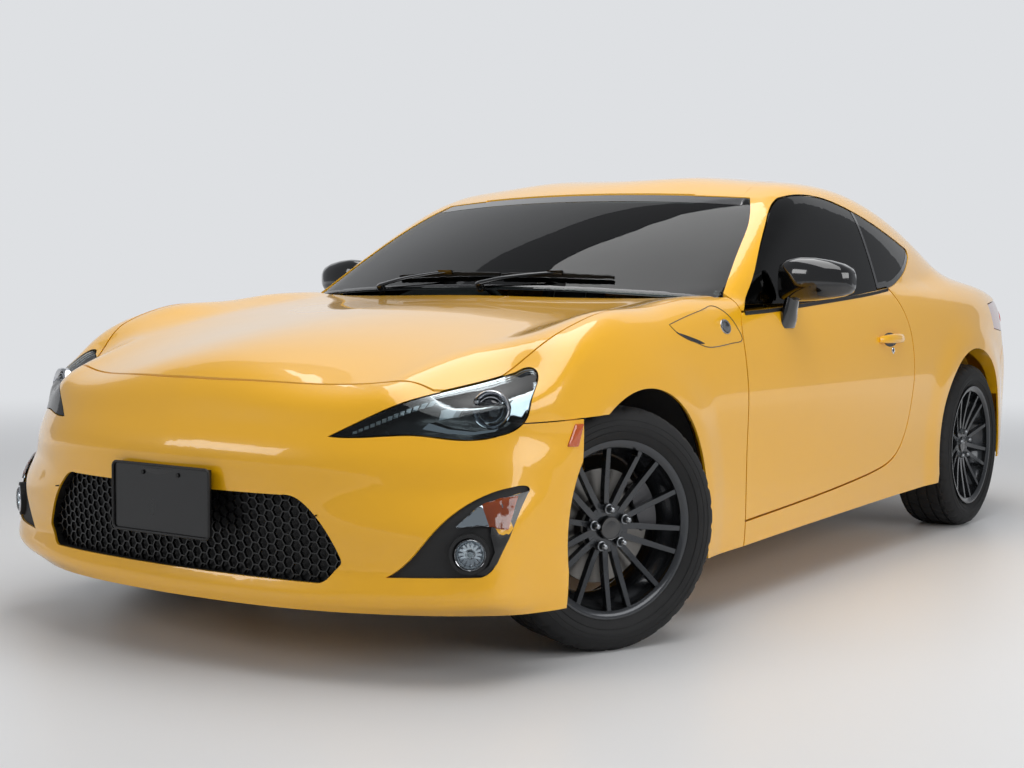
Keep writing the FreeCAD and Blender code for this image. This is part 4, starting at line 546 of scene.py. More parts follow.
# Lower lamps: in each dark hollow a round fog lamp in a bright ring and, above it, the turn
# signal under a clear cover with a chrome and an amber half.
pile = Pile()
fog_skin = skin("fog_lamps")
for side in (1, -1):
    way = Vector((0.55 * side, -0.83, 0)).normalized()
    lamp_place = mm(779 * side, -1904, 314)
    base = (fog_skin.ray_cast(lamp_place + way * 0.3, -way)[0] or lamp_place) - way * 0.001
    pile.lathe([(0.0, 0.037), (0.012, 0.037), (0.015, 0.035), (0.012, 0.031), (0.004, 0.026), (0.001, 0.012),
                (0.001, 0.0)], base, way, 0, 36)
    up = Vector((0, 0, 1))
    across_way = way.cross(up)
    for a in turns(14):
        out = up * math.cos(a) + across_way * math.sin(a)
        turn = up * -math.sin(a) + across_way * math.cos(a)
        c = base + way * 0.004 + out * 0.022
        pile.hull([c + out * 0.008, c - out * 0.008, c + turn * 0.0035 + out * 0.004,
                   c - turn * 0.0035 + out * 0.004, c + way * 0.005], 0)
    pile.lathe([(0.010, 0.0335), (0.014, 0.0335), (0.0175, 0.028), (0.0195, 0.018), (0.0205, 0.0)],
               base, way, 1, 36)
    pile.lathe([(0.002, 0.0065), (0.012, 0.0065), (0.016, 0.0)], base, way, 2, 14)

# Where the photograph was taken from, its right, up and forward ways there, and, in pixels, its
# focal length and the middle of its view. The lamps' outlines and the camera use them.
photo_eye = Vector((2.845559, -4.748298, 0.921030))
photo_right = Vector((0.82424361, 0.56620364, 0.00599254))
photo_up = Vector((-0.0406965, 0.04868102, 0.99798495))
photo_forward = Vector((-0.56477099, 0.82282659, -0.06316753))
photo_focus = 1571.736
photo_middle = (513.05, 384.85)
bumper_skin = skin("front_bumper")
panel_depth = 0.0073
edge_step = 1.5
edge_tries = 16


def seen_at(px, py, lift):
    """The place on the bumper's face that shows at a pixel of the photograph, and lifted from it.

    A pixel just past the bumper's edge is drawn back to the edge."""
    near = deep = (None,)
    for _ in range(edge_tries):
        way = (photo_forward * photo_focus + photo_right * (px - photo_middle[0])
               - photo_up * (py - photo_middle[1])).normalized()
        near = bumper_skin.ray_cast(photo_eye, way)
        deep = fog_skin.ray_cast(photo_eye, way)
        if near[0] is not None or deep[0] is not None:
            break
        px -= edge_step
    if near[0] is None or (deep[0] is not None and deep[3] < near[3]):
        near = deep
        lift += panel_depth
    normal = near[1] if near[1].dot(way) < 0 else -near[1]
    return near[0] + normal * lift


# Pixels of the photograph: the dark field's inner and outer edge, the signal's top and its foot.
field_inside = [(526, 491.5), (506, 498), (492, 515), (490, 535), (494, 552), (488, 566), (476, 575)]
field_outside = [(527.5, 490.5), (522, 506), (516, 521), (509.5, 538), (503, 551), (496, 563.5), (486, 575.5)]
signal_top = [(456, 527.5), (466, 518.5), (475.4, 510), (484, 505), (500, 499.5), (518, 495.8)]
signal_foot = [(458, 528.5), (468, 527.5), (480, 526.5), (492, 527.5), (500, 529.5), (508, 530)]


def between(a, b, t):
    """The place a share of the way from one point to another."""
    return tuple(u * (1 - t) + v * t for u, v in zip(a, b))


field_rows = [[seen_at(*between(a, b, t), 0.0008) for a, b in zip(field_inside, field_outside)]
              for t in (0, 0.25, 0.5, 0.75, 1.0)]
signal_steps = 24
amber_from = 13
cover_lifts = (0.001, 0.0055, 0.0068, 0.0072, 0.0068, 0.0055, 0.001)
signal_grid = []
for k in range(signal_steps + 1):
    t = k / signal_steps * (len(signal_top) - 1)
    n = min(int(t), len(signal_top) - 2)
    high_edge = between(signal_top[n], signal_top[n + 1], t - n)
    low_edge = between(signal_foot[n], signal_foot[n + 1], t - n)
    signal_grid.append([between(high_edge, low_edge, r) for r in (0, 0.04, 0.3, 0.5, 0.7, 0.96, 1.0)])
for side in (1, -1):
    turned = (lambda p: p) if side > 0 else (lambda p: Vector((-p.x, p.y, p.z)))
    pile.net([[turned(p) for p in row] for row in field_rows], 4)
    cells = [[turned(seen_at(*q, 0.0014 + (0.0012 if (k // 2 + n) % 2 else 0))) for n, q in enumerate(column)]
             for k, column in enumerate(signal_grid)]
    pile.net(cells[:amber_from + 1], 0)
    pile.net(cells[amber_from:], 3)
    cover = [[turned(seen_at(*q, lift)) for q, lift in zip(column, cover_lifts)] for column in signal_grid]
    pile.net(cover, 1)
pile.done("lower_lamps", "chassis", [chrome, lens_clear, lamp_white, amber, lamp_black], "lamp_lens", 40)


# Tyres: black rubber with a blank sidewall. Four grooves run round the tread, and slanting cuts
# part its blocks and shoulders.
rubber = finish("rubber", (19, 19, 20), 0.72, uneven=0.08, cloud=14, grain=0.3, grain_size=700)
dress("tyre_rubber", rubber)
# The tyre's outline from the bead up to the shoulder, as (across, radius), and its inner wall.
tread_profile = [(-92, 229.5), (-97, 238), (-104, 250), (-107.2, 262), (-107.5, 272), (-106, 281),
                 (-103, 288), (-99, 296), (-93.5, 303.5), (-88, 306.5), (-82, 309.5), (-75, 311)]
inner_wall = [(93, 229), (78, 216), (80, 240), (78, 290), (0, 298), (-78, 290), (-80, 240), (-78, 216),
              (-93, 229)]
tyre_crown = 312.5


def tyre_rows():
    """The tyre's outline as (x, radius, groove kind): 0 plain, 1 a groove's floor, 2 block, 3 shoulder."""
    rows = [(x, r, 3 if x > -100 and r > 300 else 0) for x, r in tread_profile]
    half = 4.5
    for middle in (-62, -21, 21, 62):
        for x, sunk, kind in ((-half - 6, 0.3, 2), (-half, 0.6, 2), (-half + 0.8, 7, 1), (half - 0.8, 7, 1),
                              (half, 0.6, 2), (half + 6, 0.3, 2)):
            rows.append((middle + x, tyre_crown - sunk, kind))
    rows += [(-x, r, kind) for x, r, kind in reversed(rows[:len(tread_profile)])]
    return rows


def on_wheel(place, x, r, a):
    """A point of a wheel: how far out along its axle, its radius and its angle, in millimetres."""
    return place @ (Vector((x, r * math.sin(a), r * math.cos(a))) / 1000)


# The wheels' places in millimetres. A front wheel turns about the line from its lower ball joint
# to its strut's top, and stands turned as in the photograph.
axle_y = 1285
wheel_x = 770
front_wheel_z = 313.19
rear_wheel_z = 312.5
steered_by = -25
wheel_frames = {}
for side, word in flanks:
    ball = mm(690 * side, -axle_y, 190)
    strut = (mm(562 * side, -axle_y, 700) - ball).normalized()
    turn = Matrix.Rotation(math.radians(steered_by), 4, strut)
    straight = Matrix.Translation(mm(wheel_x * side, -axle_y, front_wheel_z))
    flip = Matrix.Diagonal((side, 1, 1, 1))
    steered = Matrix.Translation(ball) @ turn @ Matrix.Translation(-ball)
    wheel_frames[f"front_{word}"] = steered @ straight @ flip
    wheel_frames[f"rear_{word}"] = Matrix.Translation(mm(wheel_x * side, axle_y, rear_wheel_z)) @ flip
for word, place in wheel_frames.items():
    pile = Pile()
    rows = []
    for x, r, kind in tyre_rows():
        row = []
        for k, a in enumerate(turns(288)):
            deep = 0.0
            slant = k + x * 0.07
            if kind == 2 and slant % 8 < 1.6:
                deep = 4.5
            if kind == 3 and (slant + 4) % 8 < 1.6:
                deep = 3.5
            row.append(on_wheel(place, x, r - deep, a))
        rows.append(row)
    for x, r in inner_wall:
        rows.append([on_wheel(place, x, r, a) for a in turns(288)])
    rows.append(rows[0])
    pile.net(rows, closed=True)
    for x, r in ((-104.6, 250), (-107.4, 266), (-106.2, 280)):
        for way in (1, -1):
            pile.tube([on_wheel(place, x * way, r, a) for a in turns(96)], 0.0011, sides=6, closed=True)
    tyre = pile.done(f"tread_{word}", f"wheel_{word}", [rubber], "tyre_rubber", 28)
    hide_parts(f"tyre_{word}")


# Wheels: cast alloy in dark grey, with a plain cap over the axle and five bright nuts. A short valve
# stands out near the rim.
rim_dark = finish("rim", (58, 60, 63), 0.26, metal=0.75, coat=0.5, grain=0.05, edge=0.0018)
dress("rim_grey", rim_dark)
iron = finish("brake iron", (112, 110, 107), 0.34, metal=1.0, grain=0.25, grain_size=400)
dress("brake_iron", iron)
cap_black = finish("cap", (14, 14, 15), 0.2, coat=0.8)
for word, place in wheel_frames.items():
    pile = Pile()
    out = (place.to_3x3() @ Vector((1, 0, 0))).normalized()
    up = (place.to_3x3() @ Vector((0, 0, 1))).normalized()
    for a in turns(5):
        foot = on_wheel(place, 62.5, 50, a)
        pile.lathe([(0.0, 0.0125), (0.003, 0.0125), (0.004, 0.0105)], foot, out, 0, 24, up=up)
        pile.lathe([(0.002, 0.0098), (0.014, 0.0098), (0.017, 0.0085)], foot, out, 0, 6, up=up)
        pile.lathe([(0.0165, 0.0085), (0.0205, 0.0055), (0.022, 0.0)], foot, out, 0, 16, up=up)
    pile.lathe([(0.0, 0.0300), (0.004, 0.0300), (0.006, 0.0285), (0.0052, 0.026), (0.0065, 0.018),
                (0.0072, 0.0)], on_wheel(place, 62, 0, 0), out, 1, 40, up=up)
    stem = on_wheel(place, 70, 196, 0.42)
    pile.tube([stem, stem + out * 0.018, stem + out * 0.024], [0.0045, 0.0045, 0.0035], 1, 12)
    pile.done(f"wheel_fittings_{word}", f"wheel_{word}", [satin, cap_black], "rim_grey", 35)


# Other finishes of the frame's own parts: cast and pressed steel, cast aluminium, leather, red
# lamp covers and gloss black plastic. Each is as it comes from its mould, press or stitcher.
dress("tail_red", finish("tail lamp", (128, 6, 8), 0.06, coat=1.0, uneven=0.02))
dress("gloss_black", finish("gloss black", (6, 6, 7), 0.12, coat=1.0, uneven=0.02))
steel = finish("bare steel", (88, 88, 90), 0.48, metal=0.9, grain=0.3, grain_size=500)
dress("bare_steel", steel)
dress("cast_alloy", finish("cast alloy", (150, 151, 152), 0.5, metal=0.85, grain=0.4, grain_size=350))
leather = finish("leather", (24, 24, 25), 0.5, uneven=0.06, grain=0.5, grain_size=420)
dress("seat_leather", leather)
dress("wheel_leather", leather)


# Front seats: each is a moulded foam cushion and back under dark leather, with a ribbed insert
# between raised side pads. Pale piping is sewn into the seams. Below them are a carrier and rails.
seat_insert = finish("seat insert", (34, 34, 36), 0.62, uneven=0.05, grain=0.8, grain_size=900)
piping = finish("piping", (186, 184, 178), 0.5, grain=0.3, grain_size=700)
trim_plastic = finish("cabin plastic", (22, 22, 23), 0.56, grain=0.6, grain_size=1100)
rail_steel = finish("rail steel", (96, 97, 99), 0.4, metal=0.9, grain=0.1)


def smooth_line(points, count):
    """A smooth run of points through the given ones, evenly spread from end to end."""
    points = [Vector(p) for p in points]
    fine = []
    for i in range(len(points) - 1):
        before = points[max(i - 1, 0)]
        a = points[i]
        b = points[i + 1]
        after = points[min(i + 2, len(points) - 1)]
        for k in range(12):
            t = k / 12
            fine.append(0.5 * (2 * a + (b - before) * t + (2 * before - 5 * a + 4 * b - after) * t ** 2
                               + (3 * a - before - 3 * b + after) * t ** 3))
    fine.append(points[-1])
    lengths = [0.0]
    for a, b in zip(fine, fine[1:]):
        lengths.append(lengths[-1] + (b - a).length)
    even = []
    j = 0
    for k in range(count):
        wanted = lengths[-1] * k / (count - 1)
        while j < len(fine) - 2 and lengths[j + 1] < wanted:
            j += 1
        share = (wanted - lengths[j]) / max(lengths[j + 1] - lengths[j], 1e-9)
        even.append(fine[j].lerp(fine[j + 1], min(max(share, 0), 1)))
    return even


def cushion(name, middle, line, inner, ribs, crown, under):
    """A sewn cushion that follows a line of (y, z, half width, height of its side pads).

    inner is the share of the width that the ribbed insert takes, ribs are its sewn channels as
    shares of the length, crown and under are the thickness above and below the line."""
    steps = 64
    across_steps = 40
    seam_deep = 9
    seam_wide = 7
    rib_deep = 6
    rib_sharp = 70
    run = smooth_line([Vector((y, z, 0)) for y, z, _, _ in line], steps)
    sizes = smooth_line([Vector((half, pad, k * 40.0)) for k, (_, _, half, pad) in enumerate(line)], steps)
    shares = [math.sin(math.pi / 2 * (2 * k / across_steps - 1)) for k in range(across_steps + 1)]
    rows = []
    seams = {-1: [], 1: []}
    for i, place in enumerate(run):
        along = (run[min(i + 1, steps - 1)] - run[max(i - 1, 0)]).normalized()
        out = Vector((-along.y, along.x, 0))
        s = i / (steps - 1)
        end = max(1 - abs(2 * s - 1) ** 8, 0) ** (1 / 2.4)
        half, pad = sizes[i].x, sizes[i].y

        def top(u):
            edge = max(1 - abs(u) ** 7, 0) ** (1 / 2.2)
            height = crown * (0.80 + 0.20 * (1 - (u / inner) ** 2 if abs(u) < inner else 0))
            if abs(u) > inner:
                height += pad * math.sin(math.pi * ((abs(u) - inner) / (1 - inner)) ** 0.8) ** 1.3
            height -= seam_deep * math.exp(-((abs(u) - inner) * half / seam_wide) ** 2)
            if abs(u) < inner:
                for rib in ribs:
                    sunk = rib_deep * math.exp(-((s - rib) * rib_sharp) ** 2)
                    height -= sunk * min(1, (inner - abs(u)) * 14)
            return height * edge * end

        def at_height(u, h):
            return mm(middle + u * half, place.x + out.x * h, place.y + out.y * h)

        row = [at_height(u, top(u)) for u in shares]
        for u in shares[::-1][1:-1]:
            row.append(at_height(u * 0.97, -under * max(1 - abs(u) ** 9, 0) ** 0.5 * end))
        rows.append(row)
        if 0.05 < s < 0.95:
            for side in (-1, 1):
                seams[side].append(at_height(side * inner, top(inner * side) + 2.0))
    wide = len(rows[0])
    pile = Pile()
    pile.solid(rows)
    for k, face in enumerate(pile.faces[:-2]):
        j = k % wide
        if j < across_steps and abs(shares[j] + shares[j + 1]) / 2 < inner:
            pile.kinds[k] = 1
    for side in (-1, 1):
        pile.tube(seams[side], 0.0024, 2, 8)
    piece = pile.done(name, "chassis", [leather, seat_insert, piping], "seat_leather", 60)
    return piece


# The seats' lines, each point as (y, z, half width, height of the side pads).
front_base = [(-338, 318, 215, 8), (-334, 352, 228, 20), (-300, 392, 238, 34), (-200, 396, 244, 44),
              (-80, 386, 246, 48), (60, 376, 246, 46), (150, 370, 238, 34), (176, 368, 228, 20)]
front_back = [(122, 376, 190, 16), (158, 462, 214, 34), (205, 575, 232, 50), (252, 690, 228, 48),
              (296, 795, 196, 26), (322, 862, 160, 10), (340, 912, 136, 6), (356, 962, 132, 6),
              (374, 1008, 124, 5), (398, 1040, 100, 2)]
cheek_outline = [(-300, 262), (-292, 318), (-120, 322), (120, 330), (216, 352), (232, 318), (206, 246),
                 (-250, 240)]
pan_outline = [(-290, 250), (-296, 312), (170, 318), (196, 300), (190, 236), (-240, 234)]
seats = []
for side, word in flanks[::-1]:
    x = 370 * side
    seats.append(cushion(f"seat_cushion_{word}", x, front_base, 0.56, (0.30, 0.44, 0.58, 0.72, 0.86), 26, 70))
    seats.append(cushion(f"seat_back_{word}", x, front_back, 0.54, (0.17, 0.27, 0.37, 0.47, 0.57, 0.72),
                         26, 62))
    pile = Pile()
    for edge in (-1, 1):
        rail = x + edge * 168
        pile.block(mm(rail - 17, -270, 205.6), mm(rail + 17, 205, 219), 0.002, 1)
        pile.block(mm(rail - 11, -286, 218), mm(rail + 11, 190, 236), 0.002, 1)
        cheek = x + edge * 214
        pile.bar(cheek - 9, cheek + 9, cheek_outline)
        pile.lathe([(0.0, 0.036), (0.004, 0.040), (0.012, 0.040), (0.016, 0.034), (0.017, 0.0)],
                   mm(cheek + edge * 9, 168, 320), (edge, 0, 0), 0, 32)
    pile.bar(x - 206, x + 206, pan_outline)
    pile.tube([mm(x - 150, -296, 236), mm(x - 150, -328, 232), mm(x - 138, -340, 231), mm(x + 138, -340, 231),
               mm(x + 150, -328, 232), mm(x + 150, -296, 236)], 0.006, 1, 10)
    seats.append(pile.done(f"seat_carrier_{word}", "chassis", [trim_plastic, rail_steel], "seat_leather", 35))
for piece in seats:
    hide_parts("front_seats")

# Rear seat: two shallow places with their own backs, on a trimmed bench behind the console.
carpet = finish("carpet", (30, 30, 31), 0.9, uneven=0.04, grain=1.0, grain_size=520)


bench = []
rear_base = [(556, 452, 222, 4), (560, 478, 236, 10), (592, 500, 244, 16), (660, 494, 248, 20),
             (740, 480, 248, 20), (800, 470, 242, 12)]
rear_back = [(806, 478, 226, 8), (822, 545, 240, 18), (846, 640, 246, 22), (868, 730, 242, 20),
             (890, 810, 232, 12), (908, 852, 216, 5)]
for side, word in flanks[::-1]:
    x = 272 * side
    bench.append(cushion(f"bench_cushion_{word}", x, rear_base, 0.6, (0.36, 0.52, 0.68, 0.84), 14, 34))
    bench.append(cushion(f"bench_back_{word}", x, rear_back, 0.6, (0.22, 0.37, 0.52, 0.67), 14, 30))
bench_outline = [(566, 421), (566, 452), (600, 466), (800, 440), (836, 500), (900, 800), (914, 848),
                 (938, 848), (938, 421)]
pile = Pile()
pile.solid([[mm(x, y, z) for y, z in bench_outline] for x in (-540, 540)])
pile.bar(-17, 17, ((560, 425), (560, 476), (600, 494), (780, 470), (800, 440)))
bench.append(pile.done("bench_carrier", "chassis", [carpet], "seat_leather", 30))
for piece in bench:
    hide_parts("rear_seat")


# Dashboard trim: a hood over three dials, round vents, a plain control panel and a glove box line.
# The column carries a shroud and two stalks. All of it is moulded plastic with thin metal rings.
dial_face = finish("dial face", (12, 12, 13), 0.35, coat=0.3)
screen_black = finish("plain screen", (9, 10, 12), 0.08, coat=0.8)
pointer_red = finish("pointer", (190, 40, 24), 0.5)
wheel_hub = mm(-370, -330, 792)
wheel_lean = math.radians(24)
to_driver = Vector((0, math.cos(wheel_lean), math.sin(wheel_lean)))
wheel_up = Vector((0, -math.sin(wheel_lean), math.cos(wheel_lean)))
pile = Pile()


def hood_arch(y, foot, wide, tall):
    """An arch over the dials, from the driver's right to the left, in millimetres."""
    return [mm(-370 + wide * math.cos(a), y, foot + tall * max(math.sin(a), 0) ** 0.6)
            for a in (math.pi * k / 24 for k in range(25))]


pile.net([hood_arch(y, 870, wide, tall) for y, wide, tall in (
    (-572, 128, 14), (-546, 148, 32), (-500, 158, 44), (-456, 160, 49), (-430, 158, 50), (-432, 148, 42),
    (-462, 140, 36), (-480, 136, 30))])
pile.add(hood_arch(-474, 842, 138, 58), [list(range(25))], 1)
for x, radius in ((-458, 0.030), (-370, 0.044), (-282, 0.030)):
    middle = mm(x, -469, 868)
    pile.lathe([(0.0, radius), (0.006, radius), (0.007, radius - 0.004), (0.002, radius - 0.005)],
               middle, to_driver, 3, 40)
    for k in range(13):
        a = math.radians(-120 + 20 * k)
        way = Vector((math.sin(a), 0, 0)) + wheel_up * math.cos(a)
        pile.tube([middle + to_driver * 0.003 + way * radius * share for share in (0.72, 0.84)], 0.0008, 3, 6)
    pointer_foot = middle + to_driver * 0.004
    pointer_way = Vector((-0.7, 0, 0)) - wheel_up * 0.7
    pile.tube([pointer_foot, pointer_foot + pointer_way * radius * 0.75], [0.0016, 0.0006], 2, 6)
vent_bore = 0.032
slat_gap = 0.012
slat_section = ((-0.012, -0.001), (0.004, 0.001), (0.004, -0.001), (-0.012, 0.001))
for middle in (mm(-610, -415, 832), mm(610, -415, 832), mm(-62, -417, 842), mm(62, -417, 842)):
    way = Vector((0, 0.93, 0.36)).normalized()
    pile.lathe([(-0.02, 0.040), (0.004, 0.040), (0.009, 0.037), (0.009, 0.034), (-0.012, vent_bore)],
               middle, way, 3, 40)
    for k in (-2, -1, 0, 1, 2):
        half = math.sqrt(vent_bore ** 2 - (k * slat_gap) ** 2)
        rise = wheel_up * k * slat_gap
        pile.hull([middle + rise + Vector((end * half, 0, 0)) + way * d + wheel_up * s
                   for end in (-1, 1) for d, s in slat_section])
pile.bar(-112, 112, ((-452, 742), (-413, 812), (-405, 806), (-440, 736), (-470, 742)))
pile.bar(-88, 88, ((-436, 756), (-409, 802), (-406, 800), (-433, 752)), 4)
for x in (-66, 0, 66):
    middle = mm(x, -462, 692)
    way = Vector((0, 0.92, 0.38)).normalized()
    pile.lathe([(-0.01, 0.026), (0.004, 0.026), (0.006, 0.023), (0.006, 0.020), (0.022, 0.018), (0.024, 0.0)],
               middle, way, 0, 36)
    pile.lathe([(0.004, 0.0268), (0.0075, 0.0268), (0.0075, 0.0235)], middle, way, 3, 36)
pile.bar(190, 560, ((-424, 800), (-452, 706), (-446, 704), (-417, 800)))
pile.tube([mm(196, -417, 796), mm(554, -417, 796), mm(554, -446, 710), mm(196, -446, 710)], 0.0016, 3, 6,
          closed=True)
column_root = wheel_hub - to_driver * 0.045
pile.lathe([(0.0, 0.030), (-0.004, 0.044), (-0.03, 0.052), (-0.12, 0.056), (-0.16, 0.05)],
           column_root, to_driver, 0, 32)
for side in (-1, 1):
    root = column_root - to_driver * 0.025 + Vector((0.045 * side, 0, 0))
    pile.tube([root, root + Vector((0.05 * side, 0, 0.004)), root + Vector((0.10 * side, 0.008, 0.012)),
               root + Vector((0.135 * side, 0.014, 0.018))], [0.006, 0.005, 0.0075, 0.006], 0, 12)
pile.done("dash_trim", "chassis", [trim_plastic, dial_face, pointer_red, satin, screen_black],
          "black_plastic", 35)
dress("black_plastic", finish("soft dashboard", (26, 26, 27), 0.66, grain=0.9, grain_size=800))

# Console: a gear lever in a folded leather boot, a hand lever beside it, two cup rings and a
# stitched lid. They are fixed on the moulded tunnel between the seats.
pile = Pile()
pile.bar(-86, 86, ((-320, 529), (-120, 505), (-320, 520), (-120, 497)), 1)
rows = []
for k in range(7):
    s = k / 6
    fold = 11 + (3 if k % 2 else 0)
    slim = (1 - s) ** 0.8
    rows.append([mm((52 * slim + fold) * math.cos(a), -215 + 14 * s + (60 * slim + fold) * math.sin(a),
                    514 + 66 * s) for a in turns(32)])
pile.net(rows, 0, closed=True)
pile.tube([mm(0, -203, 570), mm(0, -198, 612)], 0.0065, 2, 16)
pile.lathe([(0.0, 0.010), (0.006, 0.017), (0.022, 0.024), (0.038, 0.024), (0.050, 0.017), (0.054, 0.0)],
           mm(0, -199, 606), (0, 0.12, 1), 0, 32)
pile.lathe([(0.047, 0.0195), (0.0535, 0.012), (0.055, 0.0)], mm(0, -199, 606), (0, 0.12, 1), 2, 32)
pile.tube([mm(46, 175, 514), mm(46, 120, 535), mm(46, 40, 560), mm(46, -30, 574)],
          [0.014, 0.013, 0.012, 0.014], 0, 16)
pile.lathe([(0.0, 0.007), (0.010, 0.007), (0.012, 0.0)], mm(46, -32, 574), (0, -0.98, 0.2), 2, 16)
for y in (-62, 22):
    pile.lathe([(0.0, 0.041), (0.005, 0.041), (0.006, 0.037), (0.001, 0.036)], mm(-34, y, 504), (0, 0, 1),
               2, 40)
    pile.lathe([(0.0015, 0.036), (0.0015, 0.0)], mm(-34, y, 504), (0, 0, 1), 1, 40)
pile.done("console_trim", "chassis", [leather, trim_plastic, satin], "black_plastic", 40)
lid_line = [(118, 514, 76, 0), (124, 526, 82, 0), (160, 530, 84, 0), (240, 532, 84, 0), (278, 520, 80, 0),
            (288, 508, 74, 0)]
cushion("console_pad", 0, lid_line, 0.86, (), 12, 16)

# Floor mats and pedals: bound carpet mats lie on the floor. Three steel pedals with ribbed rubber
# faces hang before the driver.
mat_corner = 40
pile = Pile()
for x0, x1, y0, y1 in ((-560, -180, -690, -370), (180, 560, -690, -370), (-540, -160, 300, 540),
                       (160, 540, 300, 540)):
    turn = [(x0 + mat_corner, y0), (x1 - mat_corner, y0), (x1, y0 + mat_corner), (x1, y1 - mat_corner),
            (x1 - mat_corner, y1), (x0 + mat_corner, y1), (x0, y1 - mat_corner), (x0, y0 + mat_corner)]
    pile.solid([[mm(x, y, z) for x, y in turn] for z in (205.5, 211)])
    pile.tube([mm(x, y, 210) for x, y in turn], 0.004, 1, 8, closed=True)
pile.done("floor_mats", "chassis", [carpet, trim_plastic], "seat_leather", 40)
pile = Pile()
for x, wide, tall, z in ((-300, 26, 70, 300), (-375, 34, 30, 340), (-455, 34, 30, 340)):
    pile.tube([mm(x, -764, 540), mm(x, -735, 460), mm(x, -700, z + 30)], 0.007, 1, 10)
    face = Matrix.Translation(mm(x, -694, z + 20)) @ Matrix.Rotation(math.radians(24), 4, "X")
    pile.block(mm(-wide, -5, -tall), mm(wide, 5, tall), 0.004, 0, face)
    for k in (-2, -1, 0, 1, 2):
        rib = k * tall / 3
        pile.block(mm(-wide * 0.8, 4, rib - 2.5), mm(wide * 0.8, 8, rib + 2.5), 0.001, 0, face)
pile.done("pedals", "chassis", [rubber, steel], "bare_steel", 35)

# Steering wheel: leather grips closed with a pale seam, a soft centre pad left bare, and a metal
# edge let into each spoke.

def squared(value, power):
    """A sine or cosine raised to a power with its sign kept, for rings between round and square."""
    return math.copysign(abs(value) ** power, value)


wheel_ring = 0.176
pile = Pile()
in_wheel = Matrix((
    (1, wheel_up.x, to_driver.x, wheel_hub.x),
    (0, wheel_up.y, to_driver.y, wheel_hub.y),
    (0, wheel_up.z, to_driver.z, wheel_hub.z),
    (0, 0, 0, 1)))
for start in (-35, 145):
    arc = [in_wheel @ Vector((wheel_ring * math.cos(a), wheel_ring * math.sin(a), 0))
           for a in (math.radians(start + 70 * k / 20) for k in range(21))]
    pile.tube(arc, [0.0145] + [0.0165] * 19 + [0.0145], 0, 16)
seam_ring = wheel_ring - 0.0148
for a in turns(72):
    pile.tube([in_wheel @ Vector((seam_ring * math.cos(a + t), seam_ring * math.sin(a + t), h))
               for t, h in ((-0.012, -0.003), (0.012, 0.003))], 0.0006, 2, 5)
pad_rings = ((0.050, -0.022), (0.066, -0.012), (0.068, 0.004), (0.060, 0.014), (0.040, 0.021), (0.016, 0.024))
pile.solid([[in_wheel @ Vector((r * 1.12 * squared(math.cos(a), 0.75), r * squared(math.sin(a), 0.75) - 0.004,
                                h)) for a in turns(40)] for r, h in pad_rings])
for a in (0, 180, 270):
    place = in_wheel @ Matrix.Rotation(math.radians(a), 4, "Z")
    for side in (-1, 1):
        pile.hull([place @ Vector((x, side * y, z))
                   for x, y in ((0.066, 0.021), (0.160, 0.014), (0.160, 0.017), (0.066, 0.025))
                   for z in (-0.003, -0.019)], 1)
pile.done("wheel_grip", "steering_wheel", [leather, satin, piping], "wheel_leather", 35)

# Door cards: a moulded panel clipped to each door's inner side, with an armrest, a pull grip, a
# map pocket and a round speaker net.

def ramp(value, start, soft):
    """Rises softly from 0 to 1 round a start."""
    return 1 / (1 + math.exp((start - value) / soft))


card_wide = 40
card_tall = 28
for side, word in flanks:
    inner_face = skin(f"door_{word}")

    def card_point(y, z, proud):
        hit = inner_face.ray_cast(mm(560 * side, y, z), Vector((side, 0, 0)))
        x = hit[0].x * side if hit[0] and hit[0].x * side < 0.80 else 0.752
        return Vector((side * (x - proud / 1000), y / 1000, z / 1000))

    pile = Pile()
    rows = []
    for i in range(card_wide + 1):
        y = -560 + 1060 * i / card_wide
        row = []
        for j in range(card_tall + 1):
            z = 300 + 520 * j / card_tall
            edge = min(1, max(0, min(i, card_wide - i, j, card_tall - j) / 1.5)) ** 0.5
            arm_rest = 44 * math.exp(-((z - 612) / 30) ** 2) * ramp(y, -330, 18) * ramp(-y, -380, 22)
            pocket = 16 * math.exp(-((z - 372) / 34) ** 4) * ramp(y, -260, 14) * ramp(-y, -330, 14)
            groove = 5 * math.exp(-((z - 690 - 0.03 * y) / 7) ** 2) * edge
            proud = 1 + 9 * edge + arm_rest + pocket - groove
            row.append(card_point(y, z, proud))
        rows.append(row)
    pile.net(rows, 0)
    for k in range(len(pile.faces)):
        z = sum(pile.points[i].z for i in pile.faces[k]) / 4
        if 0.64 < z < 0.68:
            pile.kinds[k] = 1
    pile.tube([card_point(*p) for p in ((-60, 668, 12), (-45, 676, 38), (0, 684, 46), (60, 684, 46),
                                        (105, 678, 38), (120, 668, 12))], 0.009, 0, 12)
    pile.tube([card_point(*p) for p in ((-150, 735, 12), (-140, 737, 26), (-96, 741, 28), (-74, 741, 24))],
              [0.006, 0.006, 0.006, 0.004], 2, 10)
    middle = card_point(-420, 420, 10)
    way = Vector((-side, 0, 0))
    pile.lathe([(0.0, 0.088), (0.004, 0.088), (0.006, 0.084), (0.003, 0.081), (0.007, 0.04), (0.008, 0.0)],
               middle, way, 0, 48)
    for ring in range(1, 8):
        foot = 0.0035 + 0.0005 * (8 - ring)
        radius = 0.0105 * ring
        pile.lathe([(foot, radius), (foot + 0.002, radius + 0.001), (foot, radius + 0.002)],
                   middle, way, 0, 48)
    pile.done(f"door_card_{word}", f"door_{word}", [trim_plastic, seat_insert, satin], "black_plastic", 45)


# Outside of the doors: a painted pull grip on each over a flat black oval that is painted shade for its
# recess, a lock below it, and a soft strip where the glass leaves the door.
side_skin = skin("door_left", "side_frame_left", "front_wings", "front_bumper", "tail_corners")
seal_black = finish("window seal", (15, 15, 16), 0.6, grain=0.4, grain_size=900)


